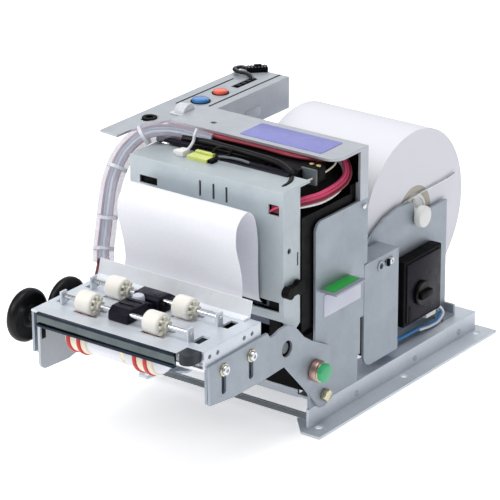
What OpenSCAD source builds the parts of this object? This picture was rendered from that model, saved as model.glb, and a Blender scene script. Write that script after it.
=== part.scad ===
// Receipt printer for a kiosk: a sheet base frame carries a print unit, a paper roll and a tilting presenter.
// +X runs along the paper's width, +Y to the back, +Z up. The origin is the centre of the four corner
// mounting holes, on the underside of the base.

/* [Base] */
// Front to back spacing of the corner mounting holes
hole_span_y = 160; // [150:1:164]
// Side to side spacing of the mounting holes
hole_span_x = 120.6; // [119:0.2:122]
// Diameter of the mounting holes
hole_d = 4.5; // [3:0.1:5]
// Height of the base rails
rail_h = 13; // [12.5:0.1:13]
// Sheet thickness of the base and the side panels
sheet_t = 1.6; // [1.4:0.1:1.6]

/* [Paper] */
// Width of the paper
paper_w = 80; // [70:1:80]
// Outer radius of the paper roll
roll_r = 50.4; // [30:0.2:50.4]

/* [Presenter] */
// Radius of the white pinch rollers
pinch_r = 6.3; // [5:0.1:6.3]
// Radius of the hand knobs
knob_r = 15; // [10:0.5:15]

/* [Hidden] */

$fn = 64;
eps = 0.5;                       // overshoot of a cutting solid

// Frame planes
wall_x = 57;                     // outer face of the side panels
rail_in = 40;                    // inner edge of the rail tops
flange_x = 68;                   // outer edge of the base flanges
base_front = -90.4;
base_back = 90;
rail_front = -85;
rail_back = 84;
beam_y = -71.6;                  // front face of the middle cross beam
panel_top = 120.6;
panel_front = -78.7;
panel_back = -29.6;
roll_plate_x = 43;               // outer face of the roll plates
bridge_top = 150.7;

// Paper roll
roll_y = 42;
roll_z = 84;
core_r = 17;
hub_r = 12.7;
roll_shaft_r = 4;
fit = 0.06;                      // radial clearance of a running fit

// Presenter
pivot_y = -73.2;
pivot_z = 18.5;
pivot_r = 2;
arm_x = 57.3;                    // inner face of the arms
deck_top = 81;
deck_t = 1.2;
front_axis_y = -171;
rear_axis_y = -146;
drive_z = 67.8;
drive_r = 10.6;
ring_r = 11.4;
nip = 0.4;                       // gap between the rings and the pinch rollers
pinch_z = drive_z + ring_r + nip + pinch_r;
shaft_r = 2.5;
pinch_shaft_r = 1.3;
pinch_x = [-31, 14.6];           // left ends of the pinch rollers
drive_x = [-34, 11];             // left ends of the drive rollers
lock_y = -82.4;
lock_z = 36.7;

// Print unit
house_front = -104;
house_left = -49.8;
house_right = 54;
house_top = 145;
house_bottom = 70.8;
house_t = 1.2;
platen_y = -84;
platen_z = 73;
platen_r = 6;
gear_m = 0.8;
platen_teeth = 30;
pinion_teeth = 12;
gear_gap = gear_m * (platen_teeth + pinion_teeth) / 2;
pinion_lean = -20;
pinion_y = platen_y + gear_gap * cos(pinion_lean);
pinion_z = platen_z + gear_gap * sin(pinion_lean);
lever_y = -93;
lever_z = 88.5;

// Control unit
cover_top = bridge_top - sheet_t;
cover_t = 1.2;
feed_pos = [-64.4, -21.5];
reset_pos = [-64, -3.4];

// Near-end sensor
sensor_y = 33.4;
sensor_z = 41;

// Routes of the leads and of the sleeve, as [x, y, z]
sleeve_path = [[-33, -70.4, 149], [-40, -73.6, 150.6], [-47, -78.8, 151.4], [-53, -84.2, 150.4],
  [-58.6, -89, 145.4], [-61.6, -96, 138.4], [-62.4, -104, 126.8], [-60.8, -110, 114.4],
  [-59.6, -114, 102.2], [-58.4, -118, 91.6], [-55.6, -121, 86.4]];
red_path = [[44.4, -101, 134], [46, -95, 134.4], [48, -88, 134.6], [51, -78, 134.2], [53, -68, 134],
  [53.2, -54, 134.6], [52, -45, 136.6], [49, -40, 140.4], [44, -37.4, 144.6], [36, -37.4, 147]];
white_path = [[46.4, -101, 131.6], [48, -95, 131.4], [49.6, -88, 131], [52.4, -78, 130], [53.4, -68, 129],
  [53.2, -56, 129.4], [52, -46, 132], [49.4, -40, 136], [45, -37.6, 140], [36, -37.6, 143.4]];
cable_path = [[46, 51, 21.8], [46.4, 59, 21.4], [47.6, 61.2, 17.6], [48.6, 55, 15.2], [49.2, 46, 15.6],
  [49.4, 34, 17.4], [49.2, 22, 17.6], [48, 10, 17], [46, 0, 16.8], [44, -12, 16.8]];
// Section of the paper loop, as [y, z] from the exit slot to the guide lip
loop_path = [[-103, 79], [-105, 81.5], [-105.8, 88], [-106, 98], [-106, 108], [-106.4, 117], [-108, 126],
  [-111, 131.8], [-115, 134.2], [-120, 132.8], [-124, 128.6], [-125.6, 123], [-125.2, 116.6],
  [-123, 108.6], [-121, 100.8], [-120, 94.4], [-120.2, 89], [-122, 83.4], [-125.6, 80], [-131, 79.44], [-136, 79.4],
  [-172, 79.4]];
paper_t = 0.12;

// A plate normal to X: its outline is given as [y, z] points
module plate_x(x, t, points) {
  translate([x, 0, 0])
    rotate([90, 0, 90])
      linear_extrude(t)
        polygon(points);
}

// A round bar along X
module bar_x(x0, x1, y, z, r, fn = $fn) {
  translate([x0, y, z])
    rotate([0, 90, 0])
      cylinder(h = x1 - x0, r = r, $fn = fn);
}

// A box given by its two corners
module box(low, high) {
  translate(low)
    cube(high - low);
}

// A slot along Z with round ends, cut along X
module slot_x(x0, x1, y, z0, z1, r) {
  bar_x(x0, x1, y, z0 + r, r);
  bar_x(x0, x1, y, z1 - r, r);
  box([x0, y - r, z0 + r], [x1, y + r, z1 - r]);
}

// A flat rectangle with round corners, standing on z = 0
module round_slab(w, d, h, r) {
  linear_extrude(h)
    union() {
      translate([r, 0])
        square([w - 2 * r, d]);
      translate([0, r])
        square([w, d - 2 * r]);
      for (px = [r, w - r], py = [r, d - r])
        translate([px, py])
          circle(r);
    }
}

// Rings of a tube swept along a route
function unit(v) = v / norm(v);
function tangent(p, i) = unit(p[min(i + 1, len(p) - 1)] - p[max(i - 1, 0)]);
function ring(p, i, r, n, shift, ref) =
  let (t = tangent(p, i), a = unit(cross(t, ref)), b = cross(t, a))
  [for (k = [0 : n - 1]) p[i] + shift * a + r * (cos(360 * k / n) * a + sin(360 * k / n) * b)];

// ref is a direction that the route never runs along
module tube(path, r, sides = 8, shift = 0, ref = [0, 0, 1]) {
  count = len(path);
  points = [for (i = [0 : count - 1]) each ring(path, i, r, sides, shift, ref)];
  first = [for (k = [0 : sides - 1]) k];
  last = [for (k = [sides - 1 : -1 : 0]) (count - 1) * sides + k];
  walls = [for (i = [0 : count - 2], k = [0 : sides - 1])
    let (here = i * sides, next = here + sides, m = (k + 1) % sides)
    each [[here + k, next + k, next + m], [here + k, next + m, here + m]]];
  polyhedron(points, concat([first, last], walls));
}

// A spur gear along X with straight-flanked teeth, its first tooth turned by the given angle
module gear_x(x0, x1, y, z, teeth, bore, turn) {
  pitch_r = gear_m * teeth / 2;
  root_r = pitch_r - 1.1 * gear_m;
  tip_r = pitch_r + 0.85 * gear_m;
  half = 360 / teeth / 4;
  outline = [for (i = [0 : teeth - 1], c = [[root_r, -1.35], [pitch_r, -0.86], [tip_r, -0.42],
      [tip_r, 0.42], [pitch_r, 0.86], [root_r, 1.35]])
    let (a = i * 360 / teeth + turn + c[1] * half)
    c[0] * [cos(a), sin(a)]];
  translate([x0, y, z])
    rotate([90, 0, 90])
      linear_extrude(x1 - x0)
        difference() {
          polygon(outline);
          circle(bore);
        }
}

// Both sides of the frame: children are drawn for the right side
module left_side() {
  mirror([1, 0, 0])
    children();
}

// One side of the base: the given front outline of its flange, then the rail, whose wall starts at wall_front
module base_side(front_edge, wall_front) {
  difference() {
    union() {
      linear_extrude(sheet_t)
        polygon(concat(front_edge, [[flange_x, base_back], [43.8, base_back]]));
      box([wall_x - sheet_t, wall_front, 0], [wall_x, rail_back, rail_h]);
      box([wall_x - sheet_t, rail_front, 5], [wall_x, rail_back, rail_h]);
      box([rail_in, beam_y, rail_h - sheet_t], [wall_x, rail_back, rail_h]);
    }
    for (y = [-hole_span_y / 2, 4, hole_span_y / 2])
      translate([hole_span_x / 2, y, -eps])
        cylinder(h = sheet_t + 2 * eps, d = hole_d);
  }
}

module base_frame() {
  beam_t = sheet_t;
  color("silver") {
    base_side([[43.8, -77.6], [55.4, base_front], [flange_x, base_front]], rail_front);
    left_side()
      base_side([[43.8, -63], [56, -75], [57.6, -83.6], [63.6, -83.6], [flange_x, -74]], -75);
    box([-wall_x + sheet_t, -84.8, 6.6], [wall_x - sheet_t, -83.2, 10]);
    box([-rail_in, beam_y, 10.9], [rail_in, beam_y + sheet_t, 15.7]);
    box([-rail_in, 62, rail_h - beam_t], [rail_in, 78, rail_h]);
    box([-rail_in, 62, 4], [rail_in, 62 + beam_t, rail_h - beam_t]);
  }
}

// Side panel with its outward tab and its inner foot
module side_panel() {
  corner_r = 6;
  difference() {
    union() {
      plate_x(wall_x - sheet_t, sheet_t, [[-84, rail_h], [-38.5, rail_h], [-38.5, 29], [-36, 29],
        [-36, 51], [-32.8, 51], [-32.8, 82], [panel_back, 82], [panel_back, panel_top],
        [panel_front + corner_r, panel_top], [panel_front + corner_r, 90], [panel_front, 90],
        [panel_front, 53], [-84, 30]]);
      box([wall_x - sheet_t, panel_front, 90], [wall_x, panel_front + corner_r, panel_top - corner_r]);
      bar_x(wall_x - sheet_t, wall_x, panel_front + corner_r, panel_top - corner_r, corner_r);
      box([wall_x - 10, -58, rail_h], [wall_x - sheet_t, -44, rail_h + sheet_t]);
    }
    bar_x(wall_x - sheet_t - eps, wall_x + eps, pivot_y, pivot_z, pivot_r);
    bar_x(wall_x - sheet_t - eps, wall_x + eps, -38, 72, 2);
  }
}

module right_side_panel() {
  color("silver") {
    side_panel();
    box([wall_x, -75, 79.4], [flange_x, -47, 80.6]);
  }
}

module left_side_panel() {
  color("silver")
    left_side()
      side_panel();
}

// Leg plate with its back web, which meets the roll plate
module leg_plate() {
  foot_r = 7;
  front = -32.3;
  low = 18.8;
  top = 81;
  difference() {
    union() {
      plate_x(wall_x - sheet_t, sheet_t, [[front + foot_r, low], [1.5, low], [1.5, top], [front, top],
        [front, low + foot_r], [front + foot_r, low + foot_r]]);
      bar_x(wall_x - sheet_t, wall_x, front + foot_r, low + foot_r, foot_r);
      box([wall_x - 4, front, low + foot_r], [wall_x - sheet_t, front + 1, 50]);
      box([roll_plate_x, -29, top - sheet_t], [wall_x - sheet_t, 1.5, top]);
      box([roll_plate_x, 0, low], [wall_x - sheet_t, 1.5, top]);
    }
    bar_x(wall_x - sheet_t - eps, wall_x + eps, -16.3, 75.3, 1.75);
    bar_x(wall_x - sheet_t - eps, wall_x + eps, -11.4, 76.4, 1);
  }
}

module right_leg_plate() {
  color("silver")
    leg_plate();
}

module left_leg_plate() {
  color("silver")
    left_side()
      leg_plate();
}

// Roll plate with an open slot for the roll shaft and a foot at the back
module roll_plate() {
  difference() {
    union() {
      plate_x(roll_plate_x - sheet_t, sheet_t, [[2, rail_h], [72.2, rail_h], [72.2, 84.5], [50, 84.5],
        [44, 90], [34, 94], [21.8, 95], [8, 92.5], [-2, 88], [-10, 82.3], [-14, 75], [-14, 40], [2, 26]]);
      box([roll_plate_x, 60, rail_h], [roll_plate_x + 7, 72.2, rail_h + sheet_t]);
      box([roll_plate_x, 72.2 - sheet_t, rail_h], [roll_plate_x + 7, 72.2, rail_h + 7]);
    }
    bar_x(roll_plate_x - sheet_t - eps, roll_plate_x + eps, roll_y, roll_z, roll_shaft_r + fit);
    box([roll_plate_x - sheet_t - eps, roll_y - roll_shaft_r - fit, roll_z],
      [roll_plate_x + eps, roll_y + roll_shaft_r + fit, 100]);
  }
}

module right_roll_plate() {
  color("silver")
    roll_plate();
}

module left_roll_plate() {
  color("silver")
    left_side()
      roll_plate();
}

module bridge_plate() {
  corner_r = 8;
  color("lightsteelblue")
    difference() {
      union() {
        translate([0, 0, cover_top])
          linear_extrude(sheet_t)
            union() {
              polygon([[-56, -60], [wall_x - corner_r, -60], [wall_x - corner_r, -60 + corner_r],
                [wall_x, -60 + corner_r], [wall_x, panel_back], [-56, panel_back]]);
              translate([wall_x - corner_r, -60 + corner_r])
                circle(corner_r);
            }
        box([wall_x - sheet_t, -37, panel_top], [wall_x, panel_back, cover_top]);
        box([wall_x - 2 * sheet_t, -37, panel_top - 10], [wall_x - sheet_t, panel_back, panel_top + 10]);
      }
      translate([-33.5, -49.5, cover_top - eps])
        cylinder(h = sheet_t + 2 * eps, r = 1.8);
    }
}

// Three blank stickers: on the bridge, on the panel's tab and on the panel
module labels() {
  sticker_t = 0.25;
  color("mediumpurple") {
    translate([-11, -56, bridge_top])
      round_slab(55, 21, sticker_t, 1);
    box([wall_x + 0.4, -73, 80.6], [wall_x + 8, -48.6, 80.6 + sticker_t]);
    box([wall_x, -71, 63], [wall_x + sticker_t, -36, 76]);
  }
}

module control_box() {
  low = 130;
  wall = 1.2;
  color("silver")
    difference() {
      union() {
        box([-80, -28.4, low], [-49, 43, cover_top - cover_t]);
        box([-wall_x - sheet_t, -60, 104], [-wall_x, -31, low]);
        box([-wall_x - sheet_t, -60, low - wall], [-49, -26, low]);
        box([-wall_x - sheet_t, -60, low], [-wall_x, -27, cover_top - cover_t]);
      }
      box([-80 + wall, -28.4 + wall, low + wall], [-49 - wall, 43 - wall, cover_top]);
    }
}

module control_cover() {
  color("silver")
    difference() {
      translate([0, 0, cover_top - cover_t])
        linear_extrude(cover_t)
          polygon([[-80, -92.6], [-66.6, -94], [-66.4, -82], [-60.5, -72], [-60.5, -60], [-57, -56],
            [-49, -31], [-49, 43], [-80, 43]]);
      translate([feed_pos[0], feed_pos[1], cover_top - 2])
        cylinder(h = 4, r = 5.3);
      translate([reset_pos[0], reset_pos[1], cover_top - 2])
        cylinder(h = 4, r = 4.5);
      for (y = [-64, -58])
        translate([-70, y, cover_top - 2])
          cylinder(h = 4, r = 3);
      box([-73, -64, cover_top - 2], [-67, -58, cover_top + 2]);
      box([-66, 9, cover_top - 2], [-61, 29, cover_top + 2]);
    }
}

module control_board() {
  color("darkgreen") {
    box([-78, -25, 134], [-51, 41, 135.6]);
    box([-76, -24, 135.6], [-72, 0, 141]);
    box([-70, 14, 135.6], [-56, 28, 138]);
    for (p = [feed_pos, reset_pos])
      translate([p[0] - 3, p[1] - 3, 135.6])
        cube([6, 6, 3.4]);
  }
}

module interface_connector() {
  color("black") {
    translate([-72.4, 33.6, cover_top])
      rotate(44.4) {
        box([0, 0, 0], [12.4, 5, 3.4]);
        box([4.4, 1, 3.4], [8.8, 4, 4.4]);
      }
  }
}

module printer_housing() {
  side_back = -89;
  side_outline = [[house_front, house_top], [house_front, house_bottom], [-100, 66.5], [-93, 63.5],
    [side_back, 66], [side_back, house_top]];
  color("silver")
    difference() {
      union() {
        box([house_left, house_front, house_bottom], [house_right, house_front + house_t, house_top]);
        box([house_left, house_front, house_top - house_t], [house_right, -80, house_top]);
        for (x = [house_left, house_right - house_t])
          plate_x(x, house_t, side_outline);
      }
      box([-42, house_front - eps, 75.8], [51, house_front + 2, 81.6]);
      box([-43, house_front - eps, 130], [-31, house_front + 2, 134.5]);
      for (x = [-1.6, 7.5, 16.2])
        box([x - 0.7, house_front - eps, 131], [x + 0.7, house_front + 2, 140]);
      box([44, house_front - eps, 131], [51, house_front + 2, 137]);
      bar_x(house_right - 2, house_right + 1, -98.9, 110.5, 1.6);
      box([house_right - 2, -92, 100], [house_right + 1, -90.6, 107.6]);
      bar_x(house_right - 2, house_right + 1, lever_y, lever_z, 1.5);
    }
}

// Black body: side blocks that fill the gap to the panels, a domed top cover and a few ribs
module printer_body() {
  color("black")
    difference() {
      union() {
        box([-47, -102, 54], [51, -42, 139]);
        box([-10, -72, 16.2], [50, -58.4, 54.5]);
        for (x = [[51, 54.6], [-54.6, -47]])
          box([x[0], -88.4, 60], [x[1], -42, 126]);
        for (side = [-1, 1], y = [-72, -50], z = [70, 112])
          bar_x(side * 55 - 0.4, side * 55 + 0.4, y, z, 4);
        plate_x(-20, 62, [[-79, 139], [-79, 142.6], [-73, 146], [-52, 146.6], [-44, 142], [-43, 139]]);
        box([-46, -78, 139], [-22, -44, 141.6]);
        box([-47, -42.5, 96], [44, -31, 139]);
        box([43, -42.5, 96], [53.4, -31, 130]);
        box([20, -32.5, 129], [53.4, -31, 148]);
        for (x = [20 : 5 : 35])
          box([x, -79.4, 140], [x + 2, -74, 146.6]);
      }
      box([-43, -102.5, 56.5], [43, -48, 104]);
      box([44.5, -98, 58.5], [50, -58, 90]);
      bar_x(-45.6, 44.6, platen_y, platen_z, 3 + fit);
      bar_x(42.5, 45, pinion_y, pinion_z, 3.4);
      box([41, -102.5, 126], [51.5, -88, 139.5]);
      box([46, -102.5, 126], [55, -41.5, 143]);
      bar_x(50.5, 55, lever_y, lever_z, 4);
    }
}

module thermal_head() {
  color("dimgray") {
    box([-41, -91, 79.6], [41, -77, 83]);
    box([-41, -80, 83], [41, -77, 90]);
  }
}

// Coil springs that press the thermal head down on the platen
module head_springs() {
  color("gray")
    for (x = [-26, 0, 26])
      translate([x, -86, 83])
        difference() {
          cylinder(h = 21, r = 3);
          translate([0, 0, -eps])
            cylinder(h = 22, r = 2.2);
        }
}

module cutter_unit() {
  color("gray")
    difference() {
      box([-43, -101.6, 66], [43, -92.6, 95]);
      box([-41, -102, 77.4], [41, -92, 81.4]);
      box([-41.6, -98, 77.4], [41.6, -96, 95.5]);
    }
}

module cutter_blade() {
  color("lightgray")
    difference() {
      box([-41.2, -97.5, 82.6], [41.2, -96.5, 94]);
      translate([0, -96, 82.6])
        rotate([90, 0, 0])
          linear_extrude(3)
            polygon([[-41, -eps], [0, 2], [41, -eps]]);
    }
}

module feed_motor() {
  color("dimgray")
    difference() {
      union() {
        bar_x(8, 40, pinion_y, pinion_z, 9.6);
        box([40, pinion_y - 9, pinion_z - 4], [43, pinion_y + 19, pinion_z + 4]);
      }
      bar_x(30, 44, pinion_y, pinion_z, 1 + fit);
    }
}

module platen_roller() {
  color("black") {
    bar_x(-40, 40, platen_y, platen_z, platen_r);
    bar_x(-45, 45.2, platen_y, platen_z, 3);
    bar_x(45.2, 49.6, platen_y, platen_z, 2);
  }
}

module platen_gear() {
  color("ivory")
    gear_x(45.4, 49.2, platen_y, platen_z, platen_teeth, 2, 0);
}

module motor_pinion() {
  color("gold") {
    gear_x(45.4, 49.2, pinion_y, pinion_z, pinion_teeth, 0.5, 180 / pinion_teeth + pinion_lean * 3.5);
    bar_x(32, 49.2, pinion_y, pinion_z, 1);
  }
}

module head_lever() {
  color("black") {
    bar_x(house_right + 0.3, house_right + 3.6, lever_y, lever_z, 4);
    box([house_right + 0.3, -104.5, 85.5], [house_right + 3.6, lever_y, 91]);
    bar_x(house_right - 1, house_right + 0.3, lever_y, lever_z, 1.44);
    bar_x(house_right + 0.3, house_right + 5, -103.5, 88.5, 3.2);
  }
}

module red_leads() {
  color("crimson")
    for (s = [0, 3])
      tube(red_path, 1.1, 8, s * 0.8);
}

module white_leads() {
  color("white")
    tube(white_path, 1.1);
}

module sensor_cable() {
  color("steelblue")
    tube(cable_path, 1.3, ref = [1, 0, 0]);
}

module near_end_sensor() {
  color("black")
    difference() {
      box([roll_plate_x, 17, 23.8], [51.5, 56, 64.4]);
      bar_x(46, 52, sensor_y, sensor_z, 2 + fit);
      box([50.5, 20.5, 26], [52, 23, 36]);
    }
}

module sensor_knob() {
  color("black") {
    bar_x(51.8, 54, sensor_y, sensor_z, 7.5);
    bar_x(47, 51.8, sensor_y, sensor_z, 2);
  }
}

// Domed heads of the rivets and screws that hold the sheets together
module pan_head_x(x, y, z, r, h) {
  bar_x(x, x + h, y, z, r);
}

module frame_screws() {
  color("lightgray") {
    for (y = [-39, 20, 66])
      pan_head_x(wall_x, y, 6, 1.8, 0.8);
    left_side()
      for (y = [-39, 20, 66])
        pan_head_x(wall_x, y, 6, 1.8, 0.8);
    pan_head_x(wall_x, -33.4, 116.6, 1.8, 1);
  }
}

module sleeve_clamp() {
  color("yellowgreen") {
    box([-20, -91.6, house_top], [-6.6, -85.4, house_top + 1.8]);
    box([-19.4, -85, house_top], [-7.4, -82.6, house_top + 2.8]);
  }
}

// Hexagon shoulder screws that the presenter's arms turn on
module pivot_pin() {
  bar_x(wall_x - sheet_t - 2, arm_x + 1.9, pivot_y, pivot_z, pivot_r);
  bar_x(arm_x + 1.9, arm_x + 5, pivot_y, pivot_z, 3.8, 6);
}

module pivot_pins() {
  color("silver") {
    pivot_pin();
    left_side()
      pivot_pin();
  }
}

module sleeve_tube() {
  color("lightcyan")
    tube(sleeve_path, 6, 12, ref = [0, 1, 0]);
}

// Paper that has left the exit slot and runs in a loop to the presenter's rollers
module paper_loop() {
  count = len(loop_path);
  inner = [for (i = [0 : count - 1])
    let (d = unit(loop_path[min(i + 1, count - 1)] - loop_path[max(i - 1, 0)]))
    loop_path[i] + paper_t / 2 * [-d[1], d[0]]];
  outer = [for (i = [count - 1 : -1 : 0])
    let (d = unit(loop_path[min(i + 1, count - 1)] - loop_path[max(i - 1, 0)]))
    loop_path[i] - paper_t / 2 * [-d[1], d[0]]];
  color("white")
    plate_x(-paper_w / 2 - 1.5, paper_w, concat(inner, outer));
}

module presenter_plate() {
  color("silver")
    difference() {
      union() {
        translate([0, 0, deck_top - deck_t])
          linear_extrude(deck_t)
            polygon([[-52, -187], [46, -187], [46, -178], [arm_x, -178], [arm_x, -129], [-44, -129],
              [-44, -118], [-52, -118]]);
        box([arm_x - deck_t, -178, 71], [arm_x, -129, deck_top]);
        for (s = [-1, 1], y = [front_axis_y, rear_axis_y])
          box([s * 42.8 - 0.6, y - 2.4, deck_top], [s * 42.8 + 0.6, y + 2.4, pinch_z + 2.6]);
      }
      for (y = [front_axis_y, rear_axis_y], x = pinch_x)
        box([x - 0.8, y - 5.4, deck_top - 3], [x + 14.8, y + 5.4, deck_top + 3]);
      for (s = [-1, 1], y = [-171, -146.5])
        box([s * 46 - 2.6, y, deck_top - 3], [s * 46 + 2.6, y + 10, deck_top + 3]);
      for (y = [front_axis_y, rear_axis_y])
        bar_x(-45, 45, y, pinch_z, pinch_shaft_r + fit);
      for (y = [-173.3, -166.5, -143.6, -136.7])
        bar_x(arm_x - 2, arm_x + 1, y, 77, 1.3);
    }
}

arm_outline = [[-176, 72.4], [-175.5, 50], [-157, 47.8], [-130, 47.6], [-109.6, 48.6], [-91, 28.5],
  [-79.6, 14.6], [-77, 12], [-73, 11.4], [-69, 12.6], [-66.5, 16], [-66.4, 22], [-68, 46.2],
  [-84.8, 54.8], [-92.2, 59.9], [-96.8, 65], [-101.4, 69.4], [-106.9, 71.8], [-113.2, 71.6],
  [-119, 70], [-123, 70], [-125, 73.4]];

module arm_holes() {
  bar_x(arm_x - eps, arm_x + 3, pivot_y, pivot_z, pivot_r + fit);
  bar_x(arm_x - eps, arm_x + 3, -107.6, 58.2, 4.75);
}

module right_arm() {
  color("silver")
    difference() {
      plate_x(arm_x, sheet_t, arm_outline);
      arm_holes();
      slot_x(arm_x - eps, arm_x + 3, -163.7, 52.7, 69.2, 2);
      slot_x(arm_x - eps, arm_x + 3, -139.9, 52.6, 68.6, 2);
      bar_x(arm_x - eps, arm_x + 3, lock_y, lock_z, 2 + fit);
    }
}

module left_arm() {
  color("silver")
    left_side()
      difference() {
        union() {
          plate_x(arm_x, sheet_t, arm_outline);
          plate_x(arm_x, sheet_t, [[-179, 52], [-130, 50], [-130, 75], [-179, 75]]);
        }
        arm_holes();
        for (y = [front_axis_y, rear_axis_y])
          bar_x(arm_x - eps, arm_x + 3, y, drive_z, shaft_r + 0.3);
      }
}

// A plate that carries the drive shafts' ends
module roller_plate(x, front, low) {
  top = deck_top - deck_t;
  difference() {
    plate_x(x, sheet_t, [[front, low], [-160, low - 1], [-129, 49], [-129, top], [front, top]]);
    for (y = [front_axis_y, rear_axis_y])
      bar_x(x - eps, x + sheet_t + eps, y, drive_z, shaft_r + fit);
  }
}

module right_roller_plate() {
  color("silver")
    roller_plate(arm_x - deck_t - sheet_t - 0.1, -174.4, 49.5);
}

module left_roller_plate() {
  corner_r = 5;
  color("silver")
    difference() {
      union() {
        roller_plate(-51.6, -183 + corner_r, 44);
        box([-51.6, -183, 44 + corner_r], [-50, -183 + corner_r + eps, deck_top - deck_t]);
        bar_x(-51.6, -50, -183 + corner_r, 44 + corner_r, corner_r);
      }
      box([-52, -181.6, 62], [-49, -177.8, 71]);
    }
}

// Slanted lip that leads the paper down to the rear rollers
module guide_lip() {
  color("whitesmoke")
    plate_x(-53, 103, [[-134, deck_top], [-128.6, deck_top], [-126.2, 90.2], [-127.2, 90.8],
      [-129.6, 82.2], [-134, 81.8]]);
}

module front_bar() {
  color("dimgray") {
    box([-47, -188.6, 73.2], [46, -187, deck_top]);
    box([-47, -189.6, 73.2], [46, -188.6, 74.8]);
  }
}

module corner_bumper() {
  color("black")
    difference() {
      union() {
        translate([51, -183.6, 75.6])
          cylinder(h = 5.6, r = 4.6);
        box([46.4, -183.6, 75.6], [55.6, -178.2, 81.2]);
      }
      translate([51, -182, 75])
        cylinder(h = 5, r = 2.6);
    }
}

// Sensor body in two blocks; each pinch shaft passes through a clearance hole
module exit_sensor() {
  color("black")
    difference() {
      union() {
        plate_x(-10, 13.5, [[-174, deck_top], [-151, deck_top], [-151, 86], [-158, 88.6], [-171, 88.6],
          [-174, 85.4]]);
        plate_x(-12, 17.5, [[-150.6, deck_top], [-135, deck_top], [-135, 85.4], [-141, 88.6],
          [-149, 88.6], [-150.6, 87]]);
        box([-8, -152, deck_top], [1, -150, deck_top + 2.6]);
      }
      for (y = [front_axis_y, rear_axis_y])
        bar_x(-14, 8, y, pinch_z, pinch_shaft_r + 0.3);
    }
}

module presenter_motor() {
  color("dimgray")
    difference() {
      bar_x(31.6, 54.4, rear_axis_y, drive_z, 8.6);
      bar_x(31, arm_x, rear_axis_y, drive_z, shaft_r + fit);
    }
}

module drive_belt() {
  inner = 5.2;
  span = front_axis_y - rear_axis_y;
  color("black")
    translate([-54.8, 0, drive_z])
      rotate([90, 0, 90])
        linear_extrude(2.6)
          difference() {
            union() {
              for (y = [front_axis_y, rear_axis_y])
                translate([y, 0])
                  circle(inner + 1);
              translate([front_axis_y, -inner - 1])
                square([-span, 2 * inner + 2]);
            }
            for (y = [front_axis_y, rear_axis_y])
              translate([y, 0])
                circle(inner);
            translate([front_axis_y, -inner])
              square([-span, 2 * inner]);
          }
}

module presenter_screws() {
  color("goldenrod") {
    for (p = [[-163.7, 66.6], [-139.9, 66]]) {
      bar_x(arm_x - 1.3, arm_x + sheet_t, p[0], p[1], 1.9);
      bar_x(arm_x + sheet_t, arm_x + sheet_t + 2.4, p[0], p[1], 3);
    }
    for (y = [-158, -134])
      bar_x(-arm_x, -51.6, y, 58, 2);
  }
}

// Drive shaft along X with two rollers, a belt pulley and a pale sleeve between the rollers
module drive_roller(y, left_end, right_end) {
  bar_x(left_end, right_end, y, drive_z, shaft_r);
  for (x = drive_x)
    bar_x(x, x + 17, y, drive_z, drive_r);
  bar_x(drive_x[0] + 17, drive_x[1], y, drive_z, 9.6);
  bar_x(drive_x[1] + 17, drive_x[1] + 20, y, drive_z, 6);
  bar_x(-55.2, -51.8, y, drive_z, 4.9);
}

module front_drive_roller() {
  color("cornsilk")
    drive_roller(front_axis_y, -67, 56);
}

module rear_drive_roller() {
  color("cornsilk")
    drive_roller(rear_axis_y, -61, 56);
}

module drive_rings(y) {
  band = 2.2;
  for (start = drive_x, x = [start + 1.5, start + 8.5])
    difference() {
      bar_x(x, x + band, y, drive_z, ring_r);
      bar_x(x - eps, x + band + eps, y, drive_z, drive_r);
    }
}

module front_drive_rings() {
  color("firebrick")
    drive_rings(front_axis_y);
}

// Hand knob with rounded edges and a boss
module hand_knob(x0, x1, y) {
  edge = 2.4;
  translate([x0, y, drive_z])
    rotate([0, 90, 0])
      rotate_extrude()
        union() {
          square([knob_r - edge, x1 - x0]);
          translate([0, edge])
            square([knob_r, x1 - x0 - 2 * edge]);
          intersection() {
            union()
              for (h = [edge, x1 - x0 - edge])
                translate([knob_r - edge, h])
                  circle(edge);
            square([knob_r, x1 - x0]);
          }
        }
}

module front_knob() {
  color("black")
    difference() {
      hand_knob(-72.5, -65.7, front_axis_y);
      bar_x(-67, -60, front_axis_y, drive_z, shaft_r);
    }
}

module rear_knob() {
  color("black")
    difference() {
      hand_knob(-65.1, -59.4, rear_axis_y);
      bar_x(-61, -50, rear_axis_y, drive_z, shaft_r);
    }
}

// Two white rollers with ribbed hubs on one steel shaft
module pinch_rollers(y) {
  bar_x(-44, 44, y, pinch_z, pinch_shaft_r);
  for (x = pinch_x) {
    bar_x(x, x + 10.8, y, pinch_z, pinch_r);
    bar_x(x + 10.8, x + 12.2, y, pinch_z, pinch_r - 1.2);
    bar_x(x + 12.2, x + 14, y, pinch_z, pinch_r - 2.6);
  }
}

module front_pinch_rollers() {
  color("white")
    pinch_rollers(front_axis_y);
}

module rear_pinch_rollers() {
  color("white")
    pinch_rollers(rear_axis_y);
}

module lock_knob() {
  color("rosybrown") {
    bar_x(arm_x, arm_x + sheet_t + 0.3, lock_y, lock_z, 2);
    bar_x(arm_x + sheet_t + 0.3, arm_x + 6.8, lock_y, lock_z, 6.2);
  }
}

module lock_cap() {
  color("mediumseagreen")
    bar_x(arm_x + 6.8, arm_x + 10.2, lock_y, lock_z, 5.4);
}

module paper_roll() {
  color("white")
    difference() {
      bar_x(-paper_w / 2, paper_w / 2, roll_y, roll_z, roll_r, 128);
      bar_x(-paper_w, paper_w, roll_y, roll_z, core_r);
    }
}

module roll_core() {
  color("burlywood")
    difference() {
      bar_x(-paper_w / 2, paper_w / 2, roll_y, roll_z, core_r);
      bar_x(-paper_w, paper_w, roll_y, roll_z, hub_r);
    }
}

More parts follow.
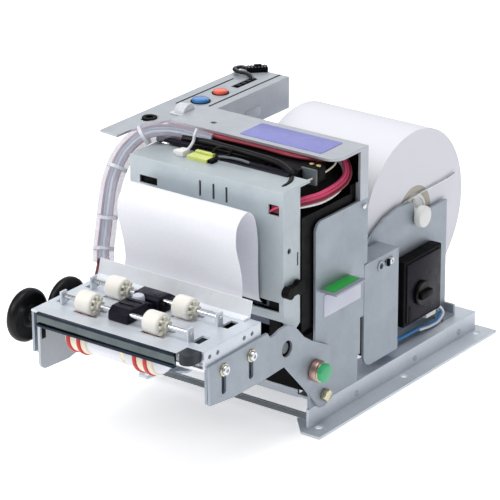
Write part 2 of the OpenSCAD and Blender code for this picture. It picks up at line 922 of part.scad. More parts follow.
module roll_shaft() {
  cap_r = 6.35;
  color("white") {
    bar_x(-47, 47, roll_y, roll_z, roll_shaft_r);
    for (s = [-1, 1]) {
      bar_x(s * 35 - 5.2, s * 35 + 5.2, roll_y, roll_z, hub_r - fit);
      bar_x(s * 46.2 - 2.4, s * 46.2 + 2.4, roll_y, roll_z, cap_r);
    }
  }
}

module push_button(p, r) {
  translate([p[0], p[1], 140.8])
    cylinder(h = cover_top + 2 - 140.8, r = r);
}

module feed_button() {
  color("steelblue")
    push_button(feed_pos, 5);
}

module reset_button() {
  color("tomato")
    push_button(reset_pos, 4.2);
}

base_frame();
right_side_panel();
left_side_panel();
right_leg_plate();
left_leg_plate();
right_roll_plate();
left_roll_plate();
bridge_plate();
labels();
control_box();
control_cover();
control_board();
interface_connector();
printer_housing();
printer_body();
thermal_head();
head_springs();
cutter_unit();
feed_motor();
red_leads();
white_leads();
sensor_cable();
near_end_sensor();
frame_screws();
sleeve_clamp();
pivot_pins();
sleeve_tube();
paper_loop();
presenter_plate();
right_arm();
left_arm();
right_roller_plate();
left_roller_plate();
guide_lip();
front_bar();
corner_bumper();
exit_sensor();
presenter_motor();
drive_belt();
presenter_screws();
front_drive_roller();
front_drive_rings();
front_knob();
rear_drive_roller();
rear_knob();
front_pinch_rollers();
rear_pinch_rollers();
lock_knob();
lock_cap();
paper_roll();
roll_core();
roll_shaft();
platen_roller();
platen_gear();
motor_pinion();
cutter_blade();
head_lever();
feed_button();
reset_button();
sensor_knob();
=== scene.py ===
"""Receipt printer with a tilting presenter: looks, detail pieces, light and camera on the CAD frame."""
import math

import bmesh
import bpy
from mathutils import Matrix, Vector, noise


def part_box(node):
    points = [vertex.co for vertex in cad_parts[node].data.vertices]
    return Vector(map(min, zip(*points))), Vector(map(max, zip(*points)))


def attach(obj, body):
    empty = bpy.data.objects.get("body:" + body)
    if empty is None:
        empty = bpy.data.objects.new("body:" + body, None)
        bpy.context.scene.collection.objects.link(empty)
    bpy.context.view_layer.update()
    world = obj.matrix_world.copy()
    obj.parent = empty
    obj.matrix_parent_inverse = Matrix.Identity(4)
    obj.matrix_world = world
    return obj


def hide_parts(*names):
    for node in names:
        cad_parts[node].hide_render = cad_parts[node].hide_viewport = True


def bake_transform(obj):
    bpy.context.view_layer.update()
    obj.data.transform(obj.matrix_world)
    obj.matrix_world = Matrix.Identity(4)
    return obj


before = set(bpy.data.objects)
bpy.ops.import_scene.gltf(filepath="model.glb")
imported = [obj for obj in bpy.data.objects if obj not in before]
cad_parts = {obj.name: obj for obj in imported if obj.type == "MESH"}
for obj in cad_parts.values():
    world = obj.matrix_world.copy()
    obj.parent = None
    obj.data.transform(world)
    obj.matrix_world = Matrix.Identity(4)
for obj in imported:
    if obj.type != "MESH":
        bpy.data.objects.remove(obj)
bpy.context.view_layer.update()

MM = 0.001


# ---------------- places taken from the frame


def corners(node):
    """The lowest and the highest corner of a CAD node, in millimetres to a tenth."""
    return [tuple(round(c / MM, 1) for c in corner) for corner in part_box(node)]


def middle(node):
    """The centre of a CAD node, in millimetres to a tenth."""
    low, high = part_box(node)
    return tuple(round((a + b) / 2 / MM, 1) for a, b in zip(low, high))


ROLL_CENTRE = middle("roll_shaft")
_, FRONT_Y, DRIVE_Z = middle("front_knob")
_, REAR_Y, _ = middle("rear_knob")
_, _, PINCH_Z = middle("front_pinch_rollers")
ARM_X, ARM_OUT = (corner[0] for corner in corners("right_arm"))
WALL_X = corners("bridge_plate")[1][0]
COVER_TOP = corners("control_cover")[1][2]
BRIDGE_TOP = corners("bridge_plate")[1][2]
BOX_SIDE = corners("control_cover")[1][0]
DECK_TOP = 81  # the presenter plate's upper face, under its brackets
HOUSING_INSIDE = -102.4  # just behind the housing's front sheet
ARM_HUB = (0, -107.6, 58.2)  # the round hole in each arm
LABEL = 0.25  # thickness of the stickers


# ---------------- materials


def rgb(*screen):
    """A colour given as it looks on screen, 0 to 255, as linear light."""
    parts = [c / 255 for c in screen]
    return tuple(p / 12.92 if p <= 0.04 else ((p + 0.055) / 1.055) ** 2.4 for p in parts) + (1.0,)


def shade(colour, factor):
    """The same colour, lighter or darker."""
    return tuple(min(1.0, c * factor) for c in colour[:3]) + (1.0,)


def lifted(colour, amount):
    """The same colour with a little white light added."""
    return tuple(c + amount for c in colour[:3]) + (1.0,)


class Look:
    """A node material that is put together step by step."""

    def __init__(self, name, rough=0.5, metal=0.0):
        """Starts a material with one roughness and metal value."""
        self.mat = bpy.data.materials.new(name)
        self.mat.use_nodes = True
        self.tree = self.mat.node_tree
        self.shader = self.tree.nodes["Principled BSDF"]
        self.coords = self.node("ShaderNodeTexCoord").outputs["Object"]
        self.set(Metallic=metal, Roughness=rough)

    def node(self, kind, inputs=(), **settings):
        """A new node. Each input is a number, a colour or another node's output."""
        made = self.tree.nodes.new(kind)
        for key, value in settings.items():
            setattr(made, key, value)
        for key, value in dict(inputs).items():
            if isinstance(value, bpy.types.NodeSocket):
                self.tree.links.new(value, made.inputs[key])
            else:
                made.inputs[key].default_value = value
        return made

    def noise(self, scale, detail=4.0, stretch=None, distortion=0.0):
        """Cloudy noise from 0 to 1, drawn out along an axis if it is stretched."""
        where = self.coords
        if stretch:
            where = self.node("ShaderNodeMapping", {"Vector": where, "Scale": stretch}).outputs["Vector"]
        inputs = {"Scale": scale, "Detail": detail, "Distortion": distortion, "Vector": where}
        return self.node("ShaderNodeTexNoise", inputs).outputs["Fac"]

    def cells(self, scale):
        """Crystal-like cells, each with its own value from 0 to 1."""
        cells = self.node("ShaderNodeTexVoronoi", {"Scale": scale, "Vector": self.coords})
        return self.node("ShaderNodeSeparateColor", {"Color": cells.outputs["Color"]}).outputs["Red"]

    def ranged(self, value, low, high, to_low, to_high):
        """A value moved from one range to another."""
        inputs = {"Value": value, "From Min": low, "From Max": high, "To Min": to_low, "To Max": to_high}
        return self.node("ShaderNodeMapRange", inputs).outputs["Result"]

    def mixed(self, fac, a, b):
        """Colour a where fac is 0 and colour b where it is 1."""
        return self.node("ShaderNodeMix", {"Factor": fac, "A": a, "B": b}, data_type="RGBA").outputs["Result"]

    def drifting(self, value, colour, low, high):
        """A colour that drifts between two shades with a noise value."""
        return self.mixed(self.ranged(value, 0.3, 0.7, 0, 1), shade(colour, low), shade(colour, high))

    def vector(self, operation, *values, output="Vector"):
        """One step of vector arithmetic."""
        made = self.node("ShaderNodeVectorMath", dict(enumerate(values)), operation=operation)
        return made.outputs[output]

    def bevel(self, width):
        """The surface direction with sharp edges rounded off."""
        return self.node("ShaderNodeBevel", {"Radius": width}, samples=4).outputs["Normal"]

    def edges(self, width):
        """1 where a sharp edge is near, 0 on flat faces."""
        flat = self.node("ShaderNodeNewGeometry").outputs["Normal"]
        match = self.vector("DOT_PRODUCT", self.bevel(width), flat, output="Value")
        return self.ranged(match, 0.995, 0.8, 0.0, 1.0)

    def colour(self, value):
        """Sets the base colour."""
        self.tree.links.new(value, self.shader.inputs["Base Color"])

    def uneven(self, value, low, high):
        """Roughness that varies between two values with a noise value."""
        self.tree.links.new(self.ranged(value, 0.3, 0.7, low, high), self.shader.inputs["Roughness"])

    def bump(self, height, distance, strength=0.5, soften=0.0):
        """Surface relief in metres, on edges that are softened by a small radius."""
        inputs = {"Distance": distance, "Strength": strength, "Height": height}
        if soften:
            inputs["Normal"] = self.bevel(soften)
        relief = self.node("ShaderNodeBump", inputs).outputs["Normal"]
        self.tree.links.new(relief, self.shader.inputs["Normal"])

    def set(self, **sockets):
        """Sets plain values on the shader."""
        for key, value in sockets.items():
            self.shader.inputs[key.replace("_", " ")].default_value = value


def sheet_metal(name, colour, rough=0.42, metal=0.4, grain=(1, 1, 1)):
    """Zinc-plated sheet: faint crystal cells, rolling grain, handling marks and bright worn edges."""
    look = Look(name, rough, metal)
    base = look.drifting(look.noise(38, 5), colour, 0.94, 1.04)
    tinted = look.mixed(look.ranged(look.cells(420), 0, 1, 0, 0.16), base, shade(colour, 1.22))
    worn = look.ranged(look.edges(0.0007), 0, 1, 0, 0.5)
    look.colour(look.mixed(worn, tinted, shade(colour, 1.35)))
    look.uneven(look.noise(120, 6, distortion=0.6), rough - 0.07, rough + 0.1)
    look.bump(look.noise(900, 3, stretch=grain), 0.00005, 0.35, soften=0.0004)
    return look.mat


def plastic(name, colour, rough=0.5, vary=0.12, coat=0.0, gloss=0.5, worn=True):
    """Moulded plastic: fine texture, soft colour drift, slightly rubbed edges."""
    look = Look(name, rough)
    base = look.drifting(look.noise(60, 4), colour, 1 - vary, 1 + vary)
    if worn:
        rubbed = lifted(shade(colour, 1.3), 0.006)
        base = look.mixed(look.ranged(look.edges(0.0005), 0, 1, 0, 0.6), base, rubbed)
    look.colour(base)
    look.uneven(look.noise(200, 5), rough - 0.08, rough + 0.1)
    look.bump(look.noise(1500, 3), 0.00004, 0.4, soften=0.0003)
    look.set(Coat_Weight=coat, Specular_IOR_Level=gloss)
    return look.mat


def rubber(name, colour, rough=0.72):
    """Matt rubber with a fine grain and a little pale dust."""
    look = Look(name, rough)
    dust = look.ranged(look.noise(90, 6), 0.45, 0.75, 0, 0.5)
    look.colour(look.mixed(dust, colour, lifted(colour, 0.03)))
    look.uneven(look.noise(300, 4), rough - 0.1, rough + 0.08)
    look.bump(look.noise(2600, 2), 0.00006, 0.5, soften=0.0005)
    return look.mat


def bare_metal(name, colour, rough=0.2, turned=(1, 1, 1)):
    """Bare metal with fine turning or drawing lines."""
    look = Look(name, rough, 1.0)
    lines = look.noise(700, 3, stretch=turned)
    look.colour(look.drifting(look.noise(150, 4), colour, 0.85, 1.1))
    look.uneven(lines, rough - 0.06, rough + 0.14)
    look.bump(lines, 0.00003, 0.4, soften=0.0003)
    return look.mat


def paper_stock(name, colour, depth=0.02):
    """Paper with fibres that lie along its width. Light goes a little way into it."""
    look = Look(name, 0.62)
    fibres = look.noise(1400, 5, stretch=(0.4, 1, 1))
    look.colour(look.drifting(fibres, colour, 0.975, 1.02))
    look.uneven(look.noise(250, 4), 0.55, 0.7)
    look.bump(fibres, 0.00002, 0.35)
    look.set(Subsurface_Weight=depth, Subsurface_Scale=0.002)
    return look.mat


def roll_stock(name, colour, centre):
    """Paper wound on a roll: fine rings around the given centre line on the flat ends."""
    look = Look(name, 0.65)
    from_centre = look.vector("SUBTRACT", look.coords, centre)
    radius = look.vector("LENGTH", look.vector("MULTIPLY", from_centre, (0, 1, 1)), output="Value")
    turns = look.node("ShaderNodeMath", {0: radius, 1: 2600.0}, operation="MULTIPLY").outputs["Value"]
    inputs = {"Scale": 1.0, "Detail": 5.0, "W": turns}
    rings = look.node("ShaderNodeTexNoise", inputs, noise_dimensions="1D").outputs["Fac"]
    ringed = look.mixed(look.ranged(rings, 0.35, 0.65, 0, 1), shade(colour, 0.93), shade(colour, 1.01))
    look.colour(look.mixed(look.ranged(look.noise(25, 3), 0.3, 0.7, 0, 0.25), ringed, shade(colour, 0.96)))
    look.uneven(rings, 0.58, 0.75)
    look.bump(rings, 0.00005, 0.3)
    return look.mat


def clear_plastic(name, colour, rough=0.12, cover=0.4):
    """Thin clear plastic that lets what is inside show through."""
    look = Look(name, rough)
    look.colour(look.drifting(look.noise(80, 4), colour, 0.93, 1.0))
    look.uneven(look.noise(240, 4), rough, rough + 0.16)
    look.bump(look.noise(500, 3), 0.00008, 0.4)
    look.set(Alpha=cover)
    return look.mat


LOOKS = {
    "zinc": sheet_metal("zinc_sheet", rgb(184, 190, 197)),
    # zinc_painted_light: a lighter copy of the zinc sheet, painted light for the base and the deck, whose
    # upper faces lie in the shade of the body and the roll
    "zinc_painted_light": sheet_metal("zinc_painted_light", rgb(212, 218, 226)),
    # zinc_painted_shade: a darker copy of the zinc sheet, painted shade for walls, plates and arms whose
    # faces turn away from the key light
    "zinc_painted_shade": sheet_metal("zinc_shaded", rgb(160, 168, 178), 0.46),
    # zinc_deep_painted_shadow: a dark copy of the zinc sheet, painted shadow for the base's front bar
    "zinc_deep_painted_shadow": sheet_metal("zinc_deep_painted_shadow", rgb(104, 112, 116), 0.5),
    "lip": sheet_metal("lip_sheet", rgb(234, 238, 244), 0.34, 0.3, grain=(0.08, 1, 1)),
    "housing": sheet_metal("housing_sheet", rgb(184, 194, 199), 0.4, 0.35, grain=(1, 1, 0.08)),
    "bridge": sheet_metal("bridge_sheet", rgb(186, 190, 198), 0.4, 0.4, grain=(0.08, 1, 1)),
    "black": plastic("black_plastic", rgb(8, 8, 10), 0.5, gloss=0.1),
    "black_gloss": plastic("black_gloss", rgb(22, 20, 33), 0.32, gloss=0.12),
    "black_knob": plastic("black_knob", rgb(8, 8, 9), 0.4, gloss=0.25),
    "rubber": rubber("rubber_black", rgb(28, 28, 30)),
    "dark_metal": bare_metal("dark_metal", rgb(72, 78, 90), 0.24, turned=(0.1, 1, 1)),
    "bar": bare_metal("bar_reflective", rgb(92, 100, 102), 0.12, turned=(0.05, 1, 1)),
    "bar_lip": bare_metal("bar_lip", rgb(40, 48, 60), 0.2, turned=(0.05, 1, 1)),
    "bracket": plastic("bracket_grey", rgb(96, 104, 108), 0.35),
    "bumper": plastic("bumper_grey", rgb(26, 32, 42), 0.35, gloss=0.35),
    "steel": bare_metal("bright_steel", rgb(214, 216, 220), 0.2, turned=(6, 0.2, 0.2)),
    "brass": bare_metal("brass", rgb(212, 190, 128), 0.24),
    "brass_pale": bare_metal("brass_pale", rgb(214, 206, 178), 0.26),
    "copper": bare_metal("copper_ring", rgb(196, 162, 152), 0.32, turned=(8, 1, 1)),
    "green": plastic("green_plastic", rgb(54, 178, 118), 0.35, coat=0.3),
    "green_label": plastic("green_label", rgb(34, 176, 66), 0.4, vary=0.05, worn=False),
    "lime": plastic("lime_plastic", rgb(216, 226, 120), 0.3, coat=0.2),
    "white": plastic("white_plastic", rgb(238, 238, 236), 0.4, vary=0.02),
    "cream": plastic("cream_plastic", rgb(232, 222, 200), 0.45, vary=0.04),
    "pale": plastic("pale_sleeve", rgb(222, 224, 232), 0.35, vary=0.03),
    "pinch": rubber("pinch_white", rgb(240, 237, 230), 0.62),
    "hub": plastic("hub_grey", rgb(206, 204, 190), 0.4, vary=0.05),
    "ring": rubber("ring_red", rgb(196, 38, 40), 0.5),
    "paper": paper_stock("paper", rgb(243, 243, 250), depth=0.05),
    "roll": roll_stock("roll_paper", rgb(238, 238, 246), tuple(c * MM for c in ROLL_CENTRE)),
    "kraft": paper_stock("kraft", rgb(186, 180, 168)),
    "red": plastic("lead_red", rgb(206, 48, 88), 0.35, coat=0.2),
    "red_dark": plastic("lead_red_dark", rgb(128, 34, 48), 0.4),
    "pink": plastic("lead_pink", rgb(222, 74, 118), 0.35, coat=0.2),
    "lead_white": plastic("lead_white", rgb(238, 238, 244), 0.35, vary=0.02),
    "blue_pale": plastic("lead_blue_pale", rgb(150, 190, 214), 0.4),
    "blue": plastic("lead_blue", rgb(60, 130, 190), 0.35),
    "lead_black": plastic("lead_black", rgb(16, 15, 18), 0.4, gloss=0.25),
    "clear": clear_plastic("clear_sleeve", rgb(206, 204, 220), 0.2, 0.42),
    "tie": clear_plastic("clear_tie", rgb(236, 238, 246), 0.2, 0.8),
    "button_blue": plastic("button_blue", rgb(44, 122, 190), 0.28, coat=0.5),
    "button_coral": plastic("button_coral", rgb(236, 92, 66), 0.28, coat=0.5),
    "purple": plastic("label_purple", rgb(136, 138, 206), 0.4, vary=0.04, worn=False),
    "lilac": plastic("label_lilac", rgb(206, 208, 222), 0.4, vary=0.03, worn=False),
    "board": plastic("board_green", rgb(30, 92, 56), 0.4),
    "gear": plastic("gear_ivory", rgb(226, 222, 206), 0.4, vary=0.03),
}

NODE_LOOKS = {
    "zinc": ["control_box", "control_cover", "left_roller_plate"],
    # painted light: the base and the deck take the lighter zinc copy
    "zinc_painted_light": ["base_frame", "presenter_plate"],
    # painted shade: these side walls, plates and arms take the darker zinc copy; the left roller plate keeps
    # the plain zinc
    "zinc_painted_shade": [
        "right_side_panel", "left_side_panel", "right_leg_plate", "left_leg_plate",
        "right_roll_plate", "left_roll_plate", "right_arm", "left_arm", "right_roller_plate",
    ],
    "bridge": ["bridge_plate"],
    "housing": ["printer_housing"],
    "black": ["printer_body", "head_lever"],
    "bumper": ["corner_bumper"],
    "rubber": ["platen_roller", "drive_belt"],
    "dark_metal": ["thermal_head", "feed_motor", "presenter_motor", "cutter_unit"],
    "steel": ["head_springs", "cutter_blade"],
    "brass": ["motor_pinion"],
    "lime": ["sleeve_clamp"],
    "gear": ["platen_gear"],
    "lip": ["guide_lip"],
    "roll": ["paper_roll"],
    "kraft": ["roll_core"],
    "board": ["control_board"],
}


def dress_nodes():
    """Puts a look on each CAD node that stays."""
    for key, nodes in NODE_LOOKS.items():
        for node in nodes:
            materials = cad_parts[node].data.materials
            if materials:
                materials[0] = LOOKS[key]
            else:
                materials.append(LOOKS[key])


# ---------------- geometry, in millimetres


def soften_normals(mesh, angle):
    """Smooth shading, with edges sharper than the angle kept hard."""
    mesh.polygons.foreach_set("use_smooth", [True] * len(mesh.polygons))
    mesh.set_sharp_from_angle(angle=math.radians(angle))


def piece(name, verts, faces, look, body="frame", replaces=(), smooth=35):
    """A mesh piece with its material and its body, if it rides one. Points are in millimetres."""
    mesh = bpy.data.meshes.new(name)
    mesh.from_pydata([tuple(c * MM for c in p) for p in verts], [], faces)
    made = bpy.data.objects.new(name, mesh)
    bpy.context.scene.collection.objects.link(made)
    shape = bmesh.new()
    shape.from_mesh(mesh)
    bmesh.ops.recalc_face_normals(shape, faces=shape.faces)
    shape.to_mesh(mesh)
    shape.free()
    soften_normals(mesh, smooth)
    mesh.materials.append(LOOKS[look])
    if body:
        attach(made, body)
    if replaces:
        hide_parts(*replaces)
    return made


def rounded(made, width):
    """Rounds a piece's sharp edges in its mesh."""
    sharper_than = math.radians(40)
    shape = bmesh.new()
    shape.from_mesh(made.data)
    bmesh.ops.remove_doubles(shape, verts=shape.verts, dist=1e-6)
    bmesh.ops.dissolve_limit(shape, angle_limit=math.radians(1), verts=shape.verts, edges=shape.edges)
    sharp = [e for e in shape.edges if len(e.link_faces) == 2 and e.calc_face_angle(0) > sharper_than]
    bmesh.ops.bevel(
        shape, geom=sharp, offset=width * MM, segments=2, profile=0.5, affect="EDGES", clamp_overlap=True,
    )
    shape.to_mesh(made.data)
    shape.free()
    soften_normals(made.data, 35)
    return made


def between(name, verts, look, edge, facts):
    """A solid between two copies of an outline, whose points are listed one copy after the other."""
    n = len(verts) // 2
    faces = [tuple(range(n)), tuple(range(2 * n - 1, n - 1, -1))]
    faces += [(i, (i + 1) % n, n + (i + 1) % n, n + i) for i in range(n)]
    return rounded(piece(name, verts, faces, look, **facts), edge)


def prism(name, outline, x0, x1, look, edge=0.3, **facts):
    """A solid along X whose section is the outline of (y, z) points."""
    return between(name, [(x, y, z) for x in (x0, x1) for y, z in outline], look, edge, facts)


def slab(name, outline, z0, z1, look, edge=0.2, **facts):
    """A flat plate on XY whose outline is a list of (x, y) points."""
    return between(name, [(x, y, z) for z in (z0, z1) for x, y in outline], look, edge, facts)


def block(name, low, high, look, edge=0.4, **facts):
    """A box between two corners, with its edges rounded."""
    x0, y0, z0 = low
    x1, y1, z1 = high
    verts = [(x, y, z) for x in (x0, x1) for y in (y0, y1) for z in (z0, z1)]
    faces = [(0, 1, 3, 2), (4, 6, 7, 5), (0, 4, 5, 1), (2, 3, 7, 6), (0, 2, 6, 4), (1, 5, 7, 3)]
    return rounded(piece(name, verts, faces, look, **facts), edge)


def around(axis, centre, along, radius, turn):
    """A point at a radius and an angle around an axis through the centre."""
    c, s = radius * math.cos(turn), radius * math.sin(turn)
    offset = {"X": (along, c, s), "Z": (c, s, along)}[axis]
    return tuple(a + b for a, b in zip(centre, offset))


def lathe(name, profile, centre, look, axis="X", segments=72, **facts):
    """A solid of revolution. The profile is a list of (along, radius) points, closed at both ends."""
    verts, faces, rings = [], [], []
    for along, radius in profile:
        count = 1 if radius < 1e-6 else segments
        rings.append([len(verts) + k for k in range(count)])
        verts += [around(axis, centre, along, radius, 2 * math.pi * k / segments) for k in range(count)]
    for a, b in zip(rings, rings[1:]):
        for k in range(segments):
            quad = [a[k % len(a)], a[(k + 1) % len(a)], b[(k + 1) % len(b)], b[k % len(b)]]
            face = tuple(dict.fromkeys(quad))
            if len(face) > 2:
                faces.append(face)
    faces += [tuple(ring) for ring in (rings[0], rings[-1]) if len(ring) > 1]
    return piece(name, verts, faces, look, **facts)


def hollow(name, profile, centre, look, axis="X", segments=72, **facts):
    """A solid of revolution around an open hole. The profile of (along, radius) points closes on itself."""
    verts, faces = [], []
    n = len(profile)
    for k in range(segments):
        m = (k + 1) % segments
        turn = 2 * math.pi * k / segments
        verts += [around(axis, centre, along, radius, turn) for along, radius in profile]
        faces += [(k * n + i, k * n + (i + 1) % n, m * n + (i + 1) % n, m * n + i) for i in range(n)]
    return piece(name, verts, faces, look, **facts)


def drum(x0, x1, radius, edge=0.5, steps=4):
    """The profile of a cylinder with rounded rims."""
    points = [(x0, max(radius - edge, 0))]
    for k in range(1, steps + 1):
        a = math.pi / 2 * k / steps
        points.append((x0 + edge * (1 - math.cos(a)), radius - edge + edge * math.sin(a)))
    for k in range(steps + 1):
        a = math.pi / 2 * (1 - k / steps)
        points.append((x1 - edge + edge * math.cos(a), radius - edge + edge * math.sin(a)))
    return points


def ring_profile(x0, x1, inner, outer, edge=0.3):
    """The profile of a ring with rounded outer rims."""
    return drum(x0, x1, outer, edge) + [(x1, inner), (x0, inner)]


def collar(name, centre, inner, outer, z0, z1, look, **facts):
    """A flat ring with its hole along Z and its upper rim broken."""
    rim = 0.15
    profile = [(z0, inner), (z0, outer), (z1 - rim, outer), (z1, outer - rim), (z1, inner)]
    return hollow(name, profile, (*centre, 0), look, axis="Z", segments=48, **facts)


def mirrored(profile):
    """The same profile for the other side."""
    return [(-along, radius) for along, radius in profile]


def route(points, per_span=8):
    """A smooth curve through the points, as many short steps."""
    p = [Vector(q) for q in points]
    p = [2 * p[0] - p[1]] + p + [2 * p[-1] - p[-2]]
    out = []
    for a, b, c, d in zip(p, p[1:], p[2:], p[3:]):
        slope, bend, twist = c - a, 2 * a - 5 * b + 4 * c - d, 3 * b - a - 3 * c + d
        for t in (k / per_span for k in range(per_span)):
            out.append(0.5 * (2 * b + slope * t + bend * t * t + twist * t ** 3))
    out.append(p[-2])
    return out


def frames_along(path):
    """For each point of a path: two directions across it that don't twist."""
    out = []
    normal = None
    for i, point in enumerate(path):
        tangent = (path[min(i + 1, len(path) - 1)] - path[max(i - 1, 0)]).normalized()
        if normal is None:
            helper = Vector((0, 0, 1)) if abs(tangent.z) < 0.9 else Vector((0, 1, 0))
            normal = tangent.cross(helper).normalized()
        normal = (normal - tangent * normal.dot(tangent)).normalized()
        out.append((point, normal, tangent.cross(normal)))
    return out


def tube(name, points, radius, look, sides=14, per_span=8, offset=(0, 0), swell=None, **facts):
    """A round cable along a smooth route. offset shifts it across the route, swell varies its radius."""
    verts, faces = [], []
    rings = frames_along(route(points, per_span))
    for i, (point, a, b) in enumerate(rings):
        centre = point + a * offset[0] + b * offset[1]
        r = radius * (swell(i, len(rings)) if swell else 1)
        for k in range(sides):
            t = 2 * math.pi * k / sides
            verts.append(tuple(centre + a * (r * math.cos(t)) + b * (r * math.sin(t))))
    for i in range(len(rings) - 1):
        for k in range(sides):
            m = (k + 1) % sides
            faces.append((i * sides + k, i * sides + m, (i + 1) * sides + m, (i + 1) * sides + k))
    faces.append(tuple(range(sides)))
    faces.append(tuple(len(verts) - 1 - k for k in range(sides)))
    return piece(name, verts, faces, look, smooth=60, **facts)


def soft_corners(x0, y0, x1, y1, r, steps=4):
    """The outline of a rectangle with round corners."""
    out = []
    centres = ((x1 - r, y1 - r), (x0 + r, y1 - r), (x0 + r, y0 + r), (x1 - r, y0 + r))
    for (cx, cy), turn in zip(centres, (0, 90, 180, 270)):
        for k in range(steps + 1):
            a = math.radians(turn + 90 * k / steps)
            out.append((cx + r * math.cos(a), cy + r * math.sin(a)))
    return out


def wheel_outline(centre, inner, outer, count, share):
    """A toothed outline around (y, z)."""
    out = []
    for k in range(count):
        for r, a in ((inner, -share), (outer, -share * 0.7), (outer, share * 0.7), (inner, share)):
            t = 2 * math.pi * (k + a / 2) / count
            out.append((centre[0] + r * math.cos(t), centre[1] + r * math.sin(t)))
    return out


# ---------------- presenter


def pinch_rollers():
    """Two upper shafts with white tyres on ribbed hubs."""
    tyre = [
        (0, 0), (0, 4.8), (0.25, 5.5), (0.8, 6.05), (1.7, 6.3), (8.9, 6.3), (9.9, 6.12), (10.5, 5.6),
        (10.8, 4.9), (10.8, 4.1), (10.2, 3.9), (10.2, 0),
    ]
    for side, y in (("front", FRONT_Y), ("rear", REAR_Y)):
        body = side + "_pinch"
        lathe(
            side + "_pinch_shaft", drum(-44, 44, 1.3, 0.3), (0, y, PINCH_Z), "steel", segments=32,
            body=body, replaces=[side + "_pinch_rollers"],
        )
        for tag, x in (("left", -31), ("right", 14.6)):
            name = f"{side}_pinch_{tag}"
            ribs = wheel_outline((y, PINCH_Z), 2.9, 4.9, 8, 0.55)
            lathe(name + "_tyre", tyre, (x, y, PINCH_Z), "pinch", body=body)
            prism(name + "_ribs", ribs, x + 10, x + 12.6, "hub", 0.15, body=body)
            neck = drum(x + 12.4, x + 14, 2.5, 0.4)
            lathe(name + "_collar", neck, (0, y, PINCH_Z), "hub", segments=32, body=body)


def drive_rollers():
    """Two lower shafts with cream drums, a pale sleeve between them, and red rings on the front one."""
    drum_profile = [(0, 0), (0, 9.8), (0.5, 10.4), (1.2, 10.6)]
    for groove in (1.5, 8.5):
        drum_profile += [
            (groove - 0.1, 10.6), (groove, 10.45), (groove + 2.2, 10.45), (groove + 2.3, 10.6),
        ]
    drum_profile += [(13, 10.6), (13.6, 10.3), (14, 9.6), (14, 0)]
    cone = [(25, 0), (25, 9.4), (26.4, 8.8), (28.4, 6.6), (30.2, 5.4), (31, 5), (31, 0)]
    pulley = [
        (-55.2, 0), (-55.2, 4.9), (-54.9, 4.9), (-54.9, 4.3), (-52.1, 4.3), (-52.1, 4.9), (-51.8, 4.9),
        (-51.8, 0),
    ]
    for side, y, left_end in (("front", FRONT_Y, -67), ("rear", REAR_Y, -61)):
        facts = {"body": side + "_drive"}
        centre = (0, y, DRIVE_Z)
        lathe(
            side + "_drive_shaft", drum(left_end, 56, 2.5, 0.4), centre, "steel", segments=40,
            replaces=[side + "_drive_roller"], **facts,
        )
        for tag, x in (("left", -34), ("right", 11)):
            lathe(f"{side}_drive_{tag}_drum", drum_profile, (x, y, DRIVE_Z), "cream", **facts)
        lathe(side + "_drive_sleeve", drum(-20, 11, 9.6, 0.5), centre, "pale", **facts)
        lathe(side + "_drive_end", cone, centre, "pale", segments=48, **facts)
        lathe(side + "_drive_joint", drum(3.4, 5.4, 9.75, 0.2), centre, "brass_pale", segments=48, **facts)
        lathe(side + "_drive_pulley", pulley, centre, "black", segments=40, **facts)
    for number, x in enumerate((-32.5, -25.5, 12.5, 19.5)):
        hollow(
            f"drive_ring_{number + 1}", ring_profile(0, 2.2, 10.5, 11.4, 0.45), (x, FRONT_Y, DRIVE_Z),
            "ring", body="front_drive", replaces=["front_drive_rings"],
        )


def hand_knobs():
    """Black hand wheels with a dished face and a rounded rim, on the left ends of the drive shafts."""
    front = [
        (-72.5, 0), (-72.5, 3.6), (-71.9, 4.3), (-71.6, 5.2), (-71.6, 11), (-72.1, 12), (-72.3, 13),
        (-71.8, 14.1), (-70.8, 14.8), (-69.6, 15), (-68.6, 15), (-67.4, 14.8), (-66.4, 14.1), (-65.9, 13),
        (-66.1, 12), (-66.6, 11), (-66.6, 6.4), (-66.1, 5.8), (-65.7, 5), (-65.7, 0),
    ]
    rear = [
        (-65.1, 0), (-65.1, 3.4), (-64.6, 4.2), (-64.4, 5.2), (-64.4, 11), (-64.8, 12), (-65, 13),
        (-64.5, 14.1), (-63.6, 14.8), (-62.6, 15), (-61.8, 15), (-60.8, 14.8), (-60, 14.1), (-59.5, 13),
        (-59.7, 12), (-60.2, 11), (-60.2, 6.4), (-59.7, 5.8), (-59.4, 5), (-59.4, 0),
    ]
    for side, y, profile in (("front", FRONT_Y, front), ("rear", REAR_Y, rear)):
        lathe(
            side + "_knob_rim", profile, (0, y, DRIVE_Z), "black_knob", segments=96,
            body=side + "_drive", replaces=[side + "_knob"],
        )


